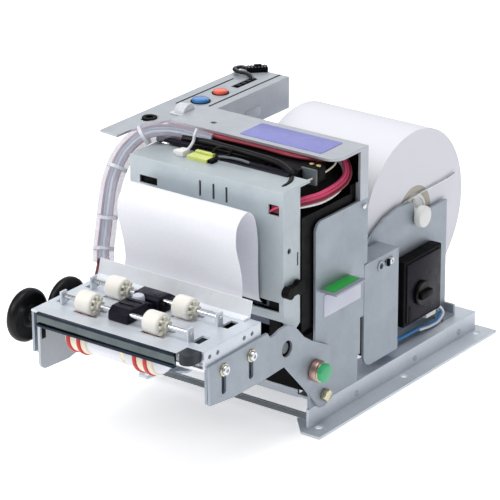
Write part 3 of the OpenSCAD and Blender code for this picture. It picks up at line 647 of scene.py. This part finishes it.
def front_trim():
    """The dark front bar, a dark clip and plugs on the plates around it, and two thin strips of painted
    shade: one on the leg plate's front bend, one on the base's front bar.
    """
    facts = {"body": "presenter"}
    bar_left, bar_right, bar_back = -47, 46, -187
    low, high = (bar_left, -188.6, 74.2), (bar_right, bar_back, 79.8)
    block("front_bar_web", low, high, "bar", 0.2, replaces=["front_bar"], **facts)
    lip = [(-188.6, 74.9), (-189.6, 74.7), (-189.6, 73.2), (bar_back, 73.2), (bar_back, 74.2), (-188.6, 74.2)]
    prism("front_bar_lip", lip, bar_left, bar_right, "bar_lip", 0.25, **facts)
    low, high = (bar_left, -189.2, 79.6), (bar_right, bar_back, DECK_TOP)
    block("front_bar_edge", low, high, "bar_lip", 0.25, **facts)
    block("left_plate_clip", (-51.4, -181.4, 62.2), (-50.2, -178, 70.8), "black", 0.2, **facts)
    # a thin black sheet of painted shade on the leg plate's front bend, for the dark gap beside the panel
    block("leg_edge_shade_strip", (52.9, -32.7, 25.9), (55.3, -32.3, 50.1), "black", 0.1)
    # a thin sheet of painted shadow laid over the base's front bar
    block("base_front_shadow_strip", (-55.3, -84.95, 6.7), (55.3, -84.7, 9.8), "zinc_deep_painted_shadow", 0.05)
    lathe("arm_hub_plug", drum(55.6, 57.0, 5.4, 0.3), ARM_HUB, "black", segments=48, **facts)
    lathe("arm_hub_boss", drum(56.4, 57.4, 3.2, 0.3), ARM_HUB, "bracket", segments=40, **facts)


def exit_sensor():
    """The black sensor that bridges the deck between the roller pairs."""
    facts = {"body": "presenter"}
    front = [
        (-174, DECK_TOP), (-151.2, DECK_TOP), (-151.2, 85.6), (-157.6, 88.5), (-170.6, 88.5), (-173.6, 86),
        (-174, 84),
    ]
    prism("exit_sensor_front", front, -10, 3.5, "black_gloss", 0.7, replaces=["exit_sensor"], **facts)
    rear = [(-150.4, DECK_TOP), (-135, DECK_TOP), (-135, 85.2), (-140.6, 88.5), (-148.6, 88.5), (-150.4, 87)]
    prism("exit_sensor_rear", rear, -12, 5.5, "black_gloss", 0.7, **facts)
    bridge = [(-152, DECK_TOP), (-150, DECK_TOP), (-150, 83.6), (-152, 83.6)]
    prism("exit_sensor_bridge", bridge, -8, 1, "black", 0.2, **facts)
    clip = [(-150, DECK_TOP), (-143, DECK_TOP), (-143, 84.5), (-147, 86.6), (-150, 86)]
    prism("exit_sensor_clip", clip, 5.6, 8.6, "black", 0.4, **facts)
    eye = [(82.5, 0), (82.5, 3.5), (87.2, 3.5), (88.6, 3.0), (89.2, 2.0), (89.3, 0)]
    lathe("exit_sensor_eye", eye, (-6.4, -152.4, 0), "lilac", axis="Z", segments=40, **facts)
    for number, y in enumerate((-166, -160)):
        low, high = (-8.4, y - 0.4, 88.4), (2, y + 0.4, 88.85)
        block(f"exit_sensor_groove_{number + 1}", low, high, "black", 0.15, **facts)


def presenter_fasteners():
    """Slotted screws on washers in the right arm, and spacers behind the left one."""
    facts = {"body": "presenter"}
    screw = [
        (-2.6, 0), (-2.6, 1.8), (0, 1.8), (0, 2.7), (1.1, 2.7), (1.6, 2.4), (1.8, 1.9), (1.8, 1.1),
        (1.0, 0.9), (1.0, 0),
    ]
    washer = ring_profile(0, 0.8, 1.9, 3.5, 0.25)
    for tag, y, z in (("front", -163.7, 66.6), ("rear", -139.9, 66)):
        hollow(
            f"arm_washer_{tag}", washer, (ARM_OUT, y, z), "brass_pale", segments=48,
            replaces=["presenter_screws"], **facts,
        )
        lathe(f"arm_screw_{tag}", screw, (ARM_OUT + 0.8, y, z), "steel", segments=40, **facts)
    for tag, y in (("front", -158), ("rear", -134)):
        spacer = drum(-ARM_X, -51.6, 2, 0.3)
        lathe(f"left_spacer_{tag}", spacer, (0, y, 58), "brass", segments=32, **facts)


def lock_pieces():
    """The lock knob: a bronze ring, a pale washer and a green cap."""
    _, y, z = middle("lock_cap")
    facts = {"segments": 64, "body": "lock"}
    ring = [
        (ARM_X, 0), (ARM_X, 2), (59.2, 2), (59.2, 5.6), (59.6, 6.2), (62.6, 6.2), (63.3, 5.9), (63.7, 5.3),
        (63.7, 0),
    ]
    lathe("lock_ring", ring, (0, y, z), "copper", replaces=["lock_knob"], **facts)
    lathe("lock_washer", drum(63.7, 64.5, 5.75, 0.25), (0, y, z), "brass_pale", **facts)
    cap = [(64.5, 0), (64.5, 5.35), (66.3, 5.35), (67.0, 5.1), (67.4, 4.5), (67.5, 0)]
    lathe("lock_button", cap, (0, y, z), "green", replaces=["lock_cap"], **facts)


def pivot_screws():
    """The pins that the presenter turns on, with hexagon heads outside the arms."""
    _, y, z = middle("pivot_pins")
    inner, head, tip, head_radius = 53.4, 59.2, 62.3, 3.8
    for side, tag in ((1, "right"), (-1, "left")):
        pin = drum(min(side * inner, side * head), max(side * inner, side * head), 2, 0.2)
        lathe(
            f"pivot_pin_{tag}", pin, (0, y, z), "steel", segments=40, replaces=["pivot_pins"],
        )
        turns = [math.radians(60 * k + 12) for k in range(6)]
        hexagon = [(y + head_radius * math.cos(t), z + head_radius * math.sin(t)) for t in turns]
        ends = sorted((side * head, side * tip))
        prism(f"pivot_head_{tag}", hexagon, *ends, "brass_pale", 0.5)


# ---------------- frame


def frame_fasteners():
    """Low domed rivets on the base rails, and the screws, eyelet and terminal on the panels."""
    facts = {"replaces": ["frame_screws"]}
    head = [(-0.2, 0), (-0.2, 1.8), (0.2, 1.75), (0.6, 1.3), (0.8, 0.6), (0.82, 0)]
    for side, tag in ((1, "r"), (-1, "l")):
        profile = head if side > 0 else mirrored(head)
        for number, y in enumerate((-39, 20, 66)):
            name = f"rail_rivet_{tag}{number + 1}"
            lathe(name, profile, (side * WALL_X, y, 6), "zinc", segments=32, **facts)
    dome = [(0, 0), (0, 1.8), (0.6, 1.7), (1, 1.1), (1, 0)]
    lathe("bridge_side_screw", dome, (WALL_X, -33.4, 116.6), "steel", segments=40, **facts)
    eyelet = ring_profile(0, 0.6, 1.75, 3.2, 0.2)
    # painted shade: the eyelet takes the darker zinc copy, like the leg plate it sits on
    hollow("leg_eyelet", eyelet, (WALL_X, -16.3, 75.3), "zinc_painted_shade", segments=40)
    screw = [(0, 0), (0, 2.3), (0.9, 2.2), (1.3, 1.6), (1.3, 0.9), (0.8, 0.8), (0.8, 0)]
    lathe("leg_screw", screw, (WALL_X, -6.4, 75.6), "steel", segments=40)
    block("leg_terminal", (WALL_X, -10.6, 73.4), (WALL_X + 1.6, -8.8, 77.4), "black", 0.3)


def stickers():
    """Blank stickers on the bridge, the tab, the right panel and the control box."""
    facts = {"replaces": ["labels"]}
    tab_top = 80.6
    on_bridge, on_tab = soft_corners(-11, -56, 44, -35, 1), soft_corners(57.4, -73, 65, -48.6, 0.8)
    slab("bridge_sticker", on_bridge, BRIDGE_TOP, BRIDGE_TOP + LABEL, "purple", 0.08, **facts)
    slab("tab_sticker", on_tab, tab_top, tab_top + LABEL, "green_label", 0.08, **facts)
    on_panel = [(-71, 63), (-36, 63), (-36, 76), (-71, 76)]
    prism("panel_sticker", on_panel, WALL_X, WALL_X + LABEL, "lilac", 0.08, **facts)
    on_box = [(0, 133.6), (15, 133.6), (15, 139.6), (0, 139.6)]
    prism("box_sticker", on_box, BOX_SIDE, BOX_SIDE + 0.15, "zinc", 0.05)


def control_keys():
    """The feed and reset buttons in their collars."""
    foot, crown = 140.8, 151.1
    for name, r, look in (("feed", 5.0, "button_blue"), ("reset", 4.2, "button_coral")):
        x, y, _ = middle(name + "_button")
        profile = [
            (foot, 0), (foot, r), (crown - 0.9, r), (crown - 0.4, r - 0.25), (crown - 0.1, r - 0.9),
            (crown, r - 1.8), (crown, 0),
        ]
        facts = {"body": name + "_key", "replaces": [name + "_button"]}
        lathe(name + "_cap", profile, (x, y, 0), look, axis="Z", **facts)
        rim = (r + 0.2, r + 0.9, COVER_TOP, COVER_TOP + 0.4)
        collar(name + "_collar", (x, y), *rim, "black")


def control_cover_trim():
    """Seams, the selector with its four keys, and the rubber grommet in the cover."""
    top = COVER_TOP
    for name, x, y0, y1 in (("cover_seam_left", -73.2, -33, 21), ("cover_seam_right", -55, -28, 42.6)):
        block(name, (x - 0.35, y0, top - 0.2), (x + 0.35, y1, top + 0.3), "black", 0.1)
    block("selector_well", (-65.9, 9.1, top - 1.6), (-61.1, 28.9, top - 0.5), "black", 0.1)
    for number in range(4):
        y = 11.6 + 4.6 * number
        low, high = (-65.2, y, top - 0.6), (-61.8, y + 3.2, top + 0.5)
        block(f"selector_key_{number + 1}", low, high, "black_gloss", 0.25)
    x, y = -70, -61
    floor = drum(top - 1.0, top - 0.3, 4.2, 0.1)
    lathe("grommet_floor", floor, (x, y, 0), "black", axis="Z", segments=48)
    collar("grommet", (x, y), 2.2, 4.4, top - 0.4, top + 0.8, "black")


def beside_plug(x0, y0, x1, y1):
    """The corners of a rectangle drawn along and across the plug, which lies at an angle on the cover."""
    corner, turn = (-72.4, 33.6), math.radians(44.4)
    c, s = math.cos(turn), math.sin(turn)
    points = ((x0, y0), (x1, y0), (x1, y1), (x0, y1))
    return [(corner[0] + x * c - y * s, corner[1] + x * s + y * c) for x, y in points]


def interface_plug():
    """The ribbed black plug on the cover and its three looped leads."""
    top = COVER_TOP
    case = beside_plug(0, 0, 12.4, 5)
    slab("interface_plug", case, top, top + 3.2, "black", 0.5, replaces=["interface_connector"])
    for number in range(6):
        x = 0.8 + 1.9 * number
        rib = beside_plug(x, 0.3, x + 0.9, 4.7)
        slab(f"interface_rib_{number + 1}", rib, top + 3, top + 3.5, "bracket", 0.15)
    latch = beside_plug(4.4, 1.2, 8.8, 3.8)
    slab("interface_latch", latch, top + 3.2, top + 4.4, "black", 0.3)
    loop = [
        (-63.6, 25, 147.2), (-65.4, 27.4, 149.8), (-69, 28, 151), (-73.6, 26.8, 151.4),
        (-78, 28.2, 151.6), (-80, 32, 151.6), (-78.6, 35.6, 151.6), (-75.6, 36.6, 151.4), (-72.8, 36.6, 151),
    ]
    # the third, thin strand is grey: a painted highlight along the dark loop of leads
    strands = ((0.85, (0, 0), "lead_black"), (0.7, (0.9, 0.9), "lead_black"), (0.5, (1.3, -0.1), "bracket"))
    for number, (radius, offset, look) in enumerate(strands):
        tube(f"interface_lead_{number + 1}", loop, radius, look, per_span=6, offset=offset)


def saddle_clip():
    """The white clip where the bridge meets the control cover."""
    clip = [
        (-47.6, 149.2), (-37, 149.2), (-37, 151), (-38.4, 153.4), (-41, 154.6), (-44, 154.4),
        (-46.6, 152.6), (-47.6, 150.6),
    ]
    prism("saddle_clip", clip, -63.5, -56.4, "tie", 0.6)
    foot = soft_corners(-66, -49, -55.2, -36.4, 1.5)
    slab("saddle_foot", foot, COVER_TOP, COVER_TOP + 0.8, "tie", 0.2)


def near_end_sensor():
    """The black paper-end sensor with its dial, plug and cable."""
    dial = {"body": "sensor_adjuster"}
    _, y, z = middle("sensor_knob")
    block("sensor_case", (43, 17, 23.8), (50.6, 56, 64.4), "black", 0.9, replaces=["near_end_sensor"])
    block("sensor_face", (50.2, 19.4, 26), (51.4, 54, 62.2), "black_gloss", 0.35)
    block("sensor_notch", (51.2, 21, 26), (51.6, 23.4, 36), "black", 0.2)
    grip = [(51.8, 0), (51.8, 7.1), (52.1, 7.5), (53.4, 7.5), (53.9, 7.1), (54, 6.4), (54, 0)]
    lathe("sensor_dial", grip, (0, y, z), "black_knob", segments=64, replaces=["sensor_knob"], **dial)
    lathe("sensor_axle", drum(47, 53.4, 2, 0.2), (0, y, z), "black_gloss", segments=32, **dial)
    block("sensor_dial_bar", (53.4, y - 5.8, z - 2.2), (56.4, y + 5.8, z + 2.2), "black", 0.8, **dial)
    cable = [
        (46, 51, 21.8), (46.4, 59, 21.4), (47.6, 61.2, 17.6), (48.6, 55, 15.2), (49.2, 46, 15.6),
        (49.4, 34, 17.4), (49.2, 22, 17.6), (48, 10, 17), (46, 0, 16.8), (44, -12, 16.8),
    ]
    tube("sensor_lead_blue", cable[2:], 1.15, "blue", replaces=["sensor_cable"])
    tube("sensor_lead_white", cable[:6], 0.8, "lead_white", offset=(0.9, -0.9))
    tube("sensor_lead_pale", cable[:5], 0.6, "blue_pale", offset=(-0.8, 0.8))
    block("sensor_plug", (45, 43, 20.6), (49.4, 53, 23.7), "white", 0.5)


def roll_parts():
    """The roll's axle with its hubs, bosses and end caps, and the guard wire beside it."""
    facts = {"body": "roll"}
    _, y, z = ROLL_CENTRE
    axle = drum(-47, 47, 4, 0.4)
    lathe("roll_axle", axle, ROLL_CENTRE, "white", segments=48, replaces=["roll_shaft"], **facts)
    hub = [
        (-5.2, 0), (-5.2, 12.2), (-4.8, 12.64), (4.6, 12.64), (5.2, 12.1), (5.2, 10.6), (4.4, 10.2),
        (4.4, 5.4), (5.2, 5.0), (5.2, 0),
    ]
    cap = [
        (-2.4, 0), (-2.4, 5.6), (-1.9, 6.2), (-1.2, 6.35), (1.0, 6.35), (1.8, 6.1), (2.3, 5.3), (2.5, 3.8),
        (2.55, 0),
    ]
    hub_x, cap_x, boss_x, boss_reach = 35, 46.2, 39.5, 7.8
    for side, tag, facing in ((1, "right", list), (-1, "left", mirrored)):
        lathe(f"roll_hub_{tag}", facing(hub), (side * hub_x, y, z), "white", **facts)
        lathe(f"roll_cap_{tag}", facing(cap), (side * cap_x, y, z), "white", **facts)
        for number in range(3):
            boss = around("X", ROLL_CENTRE, side * boss_x, boss_reach, math.radians(90 + 120 * number))
            name = f"roll_hub_boss_{tag}_{number + 1}"
            lathe(name, drum(-0.5, 0.5, 1.6, 0.2), boss, "hub", segments=24, **facts)
    wire = [
        (41.2, 16, 88), (41.2, 22, 92.6), (41.1, 30, 94.8), (40.9, 42, 95.6), (40.9, 58, 96),
        (40.9, 72, 96.2), (40.9, 83, 97),
    ]
    tube("roll_guard_wire", wire, 0.5, "steel", sides=10, per_span=5)


# ---------------- paper and leads


def sheet_strip(name, path, x0, x1, thick, look, columns=12, ripple=0.0, **facts):
    """A thin curved sheet whose section follows a smooth (y, z) path."""
    curve = route([(0, y, z) for y, z in path], 7)
    n = len(curve)
    w = columns + 1
    verts, faces = [], []
    for side in (1, -1):
        for i, point in enumerate(curve):
            d = (curve[min(i + 1, n - 1)] - curve[max(i - 1, 0)]).normalized()
            across = Vector((0, -d.z, d.y))
            for c in range(w):
                x = x0 + (x1 - x0) * c / columns
                wave = ripple * noise.noise(Vector((x * 0.035, i * 0.11, 3.7)))
                place = point + across * (side * thick / 2 + wave)
                verts.append((x, place.y, place.z))
    other = n * w
    for i in range(n - 1):
        for c in range(columns):
            a = i * w + c
            quad = (a, a + 1, a + w + 1, a + w)
            faces += [quad, tuple(other + corner for corner in reversed(quad))]
        for c in (0, columns):
            a, b = i * w + c, (i + 1) * w + c
            faces.append((a, b, other + b, other + a))
    for i in (0, n - 1):
        for c in range(columns):
            a = i * w + c
            faces.append((a, a + 1, other + a + 1, other + a))
    return piece(name, verts, faces, look, smooth=50, **facts)


PAPER_PATH = [
    (-102.4, 78.6), (-104.4, 80.6), (-105.6, 86), (-106, 97), (-106, 108), (-106.4, 117), (-108, 126),
    (-111, 131.8), (-115, 134.2), (-120, 132.8), (-124, 128.6), (-125.6, 123), (-125.2, 116.6),
    (-123, 108.6), (-121, 100.8), (-120, 94.4), (-120.2, 89), (-122, 83.4), (-125.6, 80), (-131, 79.44),
    (-136, 79.4), (-150, 79.4), (-172, 79.4),
]


def paper_pieces():
    """The printed paper and the web that feeds it from the roll."""
    facts = {"ripple": 0.35, "body": None, "replaces": ["paper_loop"]}
    loop = sheet_strip("paper_ticket", PAPER_PATH, -41.5, 38.5, 0.14, "paper", **facts)
    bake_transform(loop)
    web = [(30, 34.9), (20, 38.6), (8, 43.6), (-6, 49.6), (-20, 55.8), (-34, 62), (-43, 66)]
    sheet_strip("paper_web", web, -40, 40, 0.12, "paper", columns=6)


SLEEVE_PATH = [
    (-22, -66.6, 147), (-33, -70.4, 149), (-40, -73.6, 150.6), (-47, -78.8, 151.4), (-53, -84.2, 150.4),
    (-58.6, -89, 145.4), (-61.6, -96, 138.4), (-62.4, -104, 126.8), (-60.8, -110, 114.4),
    (-59.6, -114, 102.2), (-58.4, -118, 91.6), (-56, -121, 86.2),
]
SLEEVE_TAIL = [(-54.2, -124.2, 82.6), (-52.8, -127.6, 79.6)]
SLEEVE_RADIUS = 6.0


def sleeve_swell(i, count):
    """The sleeve is narrower where it comes out from under the bridge."""
    return 0.72 + 0.28 * min(1, 3.4 * i / count)


def lead_swell(i, count):
    """The leads thin out slightly where they leave the sleeve."""
    return 1 - 0.12 * max(0, i / count - 0.85) / 0.15


def sleeve_pieces():
    """A clear sleeve with coloured leads inside and four ties around it."""
    strands = [
        ("red", "red", (2.5, 0.9), 1.1), ("red_2", "red", (2.5, -1.5), 1.0),
        ("white", "lead_white", (-1.8, 1.0), 1.1), ("blue", "blue_pale", (-0.8, -1.9), 0.8),
        ("pink", "pink", (0.7, 2.6), 1.0), ("white_2", "lead_white", (-2.6, -0.9), 0.9),
        ("dark", "lead_black", (0.9, -0.2), 0.9), ("dark_2", "red_dark", (0.6, -2.9), 0.8),
    ]
    skin = {"sides": 28, "swell": sleeve_swell, "body": None, "replaces": ["sleeve_tube"]}
    made = [tube("sleeve_skin", SLEEVE_PATH, SLEEVE_RADIUS, "clear", **skin)]
    for name, look, offset, radius in strands:
        facts = {"sides": 10, "offset": offset, "swell": lead_swell, "body": None}
        made.append(tube("sleeve_lead_" + name, SLEEVE_PATH + SLEEVE_TAIL, radius, look, **facts))
    points = route(SLEEVE_PATH, 8)
    for number, at in enumerate((34, 52, 68, 80)):
        step = (points[at + 1] - points[at]).normalized() * 0.9
        short = [tuple(points[at] + step * k) for k in (-1, 0, 1)]
        facts = {"sides": 28, "per_span": 2, "body": None}
        made.append(tube(f"sleeve_tie_{number + 1}", short, SLEEVE_RADIUS + 0.05, "tie", **facts))
    for item in made:
        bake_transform(item)


def lead_pieces():
    """The head's leads leave the housing's right side and run back under the bridge."""
    upper = [
        (46.4, -101.5, 134), (47.6, -95, 134.6), (49.2, -88, 134.9), (51.6, -78, 134.4), (53.2, -68, 134.2),
        (53.2, -54, 135.2), (51.8, -45, 137.4), (48.6, -40.6, 141.4), (43, -38.4, 145), (34, -38.2, 147.2),
        (20, -39, 147.6),
    ]
    lower = [
        (47, -101.5, 131.8), (48.6, -95, 131.4), (50.2, -88, 131), (52.6, -78, 130), (53.6, -68, 129.2),
        (53.4, -56, 129.8), (52.2, -46, 132.4), (49.2, -41, 136.4), (45, -38.8, 140.6), (36, -38.4, 144.4),
        (22, -39, 146),
    ]
    pale = [(44, -92, 141.6), (46.6, -80, 141.6), (49, -66, 142), (49.6, -52, 144), (46.4, -44, 147)]
    tube("lead_pink_1", upper, 1.05, "pink", replaces=["red_leads"])
    tube("lead_pink_2", upper, 0.95, "pink", offset=(1.1, 1.6))
    tube("lead_dark_1", upper, 0.9, "red_dark", offset=(2.4, 2.6))
    tube("lead_white_1", lower, 1.05, "lead_white", replaces=["white_leads"])
    tube("lead_pale", pale, 0.5, "cream")
    block("lead_plug", (43.4, HOUSING_INSIDE, 129.6), (51.2, -97.4, 137.6), "black", 0.8)
    block("lead_plug_latch", (45, -102.6, 132), (49.6, -102.2, 136), "red_dark", 0.2)
    stub = [(44.4, -102.9, 132.4), (47, -103.2, 134.4), (50.6, -102.9, 136.4)]
    tube("lead_stub", stub, 0.6, "pink", sides=10, per_span=4)


def bridge_bundle():
    """The dark red bundle along the underside of the bridge."""
    for number, look in enumerate(("red_dark", "red", "red_dark", "lead_black", "red_dark")):
        y = -61.6 + 2.2 * number
        z = 148.0 - 0.25 * (number % 2)
        line = [
            (-34 + 3 * number, y - 3, z), (-14, y, z), (6, y + 0.6, z), (26, y, z - 0.2),
            (38, y + 2, z - 0.4), (44, y + 8, z - 1.4), (46, y + 15, z - 3),
        ]
        tube(f"bundle_lead_{number + 1}", line, 0.95, look, sides=10, per_span=5)


# ---------------- top of the print unit


def top_hoses():
    """The black rail, a dark hose, a thin grey tube that paints a highlight line along the rail's top, the
    rod and the hook behind the housing's top edge.
    """
    hood = [
        (-84.6, 139.4), (-77, 139.4), (-76, 144), (-77.4, 146.2), (-80, 147), (-83, 146.2), (-84.6, 143.6),
    ]
    prism("top_rail", hood, -20, 42, "black_gloss", 0.8)
    # a thin grey tube along the black rail's top edge: a painted highlight line
    light = [(-4, -84, 147.2), (3, -83, 147.7), (10, -82.6, 147.8), (16, -82.8, 147.4)]
    tube("top_hose_painted_highlight", light, 0.7, "bracket", sides=12)
    dark = [
        (-34, -77, 149.4), (-20, -75, 149.6), (-4, -74.4, 149.2), (14, -74.6, 148.8), (30, -76, 148.4),
        (42, -80, 146.4),
    ]
    tube("top_hose_dark", dark, 1.9, "lead_black")
    rod = [(-46.6, -80.4, 147.6), (-40, -80.2, 147.6), (-33, -80, 147.6), (-26, -79.8, 147.6)]
    tube("top_rod", rod, 1.5, "black_gloss", sides=16)
    rod_end = drum(-48.4, -45.8, 2.3, 0.4)
    lathe("top_rod_end", rod_end, (0, -80.4, 147.6), "black_gloss", segments=32)
    hook = [
        (-9, -82.6, 146), (-8.4, -82.4, 149.4), (-5, -81.4, 151.8), (-0.6, -80.2, 151.6),
        (1.2, -79.8, 149.2), (-1.2, -80.4, 147.2), (-5.6, -81.8, 146.6),
    ]
    tube("top_hook", hook, 0.8, "lead_black", sides=12)


def top_plugs():
    """Small plugs on the housing's top, and the strap that holds the sleeve."""
    top = 145
    block("white_plug", (-27.6, -92, top), (-22.4, -85.6, top + 3.4), "white", 0.5)
    block("white_plug_2", (-30.4, -90.6, top), (-28, -86.4, top + 2.4), "lead_white", 0.4)
    block("lime_clamp_end", (-6.5, -91.2, top), (-3, -85.6, top + 2), "black", 0.5)
    strap = [
        (-24.6, -86.4, 146.6), (-24.8, -82.2, 148), (-25, -79, 150.4), (-25.2, -77.9, 153.2),
        (-25.4, -75.4, 156),
    ]
    tube("sleeve_strap", strap, 0.9, "tie", sides=12)


def right_end():
    """The black cables and the terminal bracket at the print unit's right end."""
    for number, lift in enumerate((0.0, 1.9, 3.6)):
        line = [
            (46 + 0.8 * number, -101, 137.6 + lift * 0.3), (47.4, -96.4, 140 + lift),
            (47, -90, 141.4 + lift * 0.8), (44.6, -84, 142.6 + lift * 0.6), (40, -78, 144.4),
            (33, -73, 147.4),
        ]
        tube(f"right_cable_{number + 1}", line, 1.4, "lead_black", sides=12, per_span=6)
    top = 147
    block("terminal_bracket", (41, -70.4, 138), (51, -69, top), "bracket", 0.35)
    block("terminal_block", (42, -68.8, 139), (50.6, -60.6, top), "black", 0.7)
    for number, x in enumerate((44, 48.4)):
        screw = drum(top, top + 0.9, 1.4, 0.2)
        lathe(f"terminal_screw_{number + 1}", screw, (x, -64.6, 0), "brass", axis="Z", segments=24)
    block("right_shoulder", (41.4, -96, 138.6), (51.4, -86, 141.4), "black", 0.8)


def window_linings():
    """Dark linings behind the small windows of the housing."""
    back = HOUSING_INSIDE + 0.5
    block("window_lining", (-44, HOUSING_INSIDE, 129), (-30, back, 135.4), "black", 0.1)
    block("slot_lining", (-3, HOUSING_INSIDE, 130), (18, back, 141), "black", 0.1)


# ---------------- light, floor and camera


def floor_plane():
    """A pale floor with a little glow, so that it stays near white."""
    bpy.ops.mesh.primitive_plane_add(size=8, location=(0, 0, -0.0002))
    floor = bpy.context.object
    floor.name = "floor"
    look = Look("floor_pale", 0.7)
    look.colour(look.mixed(look.noise(6, 2), (0.93, 0.93, 0.935, 1), (0.95, 0.95, 0.955, 1)))
    look.set(Emission_Color=(0.97, 0.98, 1, 1), Emission_Strength=0.5)
    floor.data.materials.append(look.mat)


def studio_world():
    """Even, faintly blue light from all round."""
    world = bpy.data.worlds.new("studio")
    bpy.context.scene.world = world
    world.use_nodes = True
    sky = world.node_tree.nodes["Background"]
    sky.inputs["Color"].default_value = (0.97, 0.985, 1.0, 1)
    sky.inputs["Strength"].default_value = 0.27


def softbox(name, place, target, size, power, colour=(1, 1, 1)):
    """A soft rectangular lamp aimed at a point."""
    data = bpy.data.lights.new(name, "AREA")
    data.shape = "RECTANGLE"
    data.size, data.size_y = size
    data.energy = power
    data.color = colour
    lamp = bpy.data.objects.new(name, data)
    bpy.context.scene.collection.objects.link(lamp)
    lamp.location = place
    lamp.rotation_euler = (Vector(target) - Vector(place)).to_track_quat("-Z", "Y").to_euler()


def stage_set():
    """The floor, the world and three softboxes."""
    floor_plane()
    studio_world()
    softbox("key", (-0.7, -1.3, 1.2), (0, -0.05, 0.08), (1.0, 1.0), 14.5, (1.0, 0.985, 0.965))
    softbox("top", (0.12, -0.1, 1.7), (0, -0.03, 0.06), (1.2, 1.2), 16)
    softbox("back", (-0.9, 1.3, 1.0), (0, 0, 0.08), (1.3, 0.9), 3.5)


def camera_set():
    """The camera stands 36.8 degrees round to the right of the front and looks 22 degrees down."""
    azimuth, elevation, roll = (math.radians(a) for a in (36.761, 22.053, -0.302))
    level = math.cos(elevation)
    back = Vector((math.sin(azimuth) * level, -math.cos(azimuth) * level, math.sin(elevation)))
    side = Vector((math.cos(azimuth), math.sin(azimuth), 0))
    up = back.cross(side)
    right = math.cos(roll) * side + math.sin(roll) * up
    over = -math.sin(roll) * side + math.cos(roll) * up
    data = bpy.data.cameras.new("camera")
    data.sensor_width = 36
    data.lens = 209.7
    data.clip_end = 20
    eye = bpy.data.objects.new("camera", data)
    bpy.context.scene.collection.objects.link(eye)
    turn = Matrix((right, over, back)).transposed().to_4x4()
    eye.matrix_world = Matrix.Translation((0.8956, -1.2604, 0.6924)) @ turn
    bpy.context.scene.camera = eye
    bpy.context.scene.view_settings.view_transform = "Standard"


# ---------------- everything in order


camera_set()
stage_set()
dress_nodes()
for build in (
    pinch_rollers, drive_rollers, hand_knobs, front_trim, exit_sensor, presenter_fasteners, lock_pieces,
    pivot_screws, frame_fasteners, stickers, control_keys, control_cover_trim, interface_plug, saddle_clip,
    near_end_sensor, roll_parts, paper_pieces, sleeve_pieces, lead_pieces, bridge_bundle, top_hoses,
    top_plugs, right_end, window_linings,
):
    build()
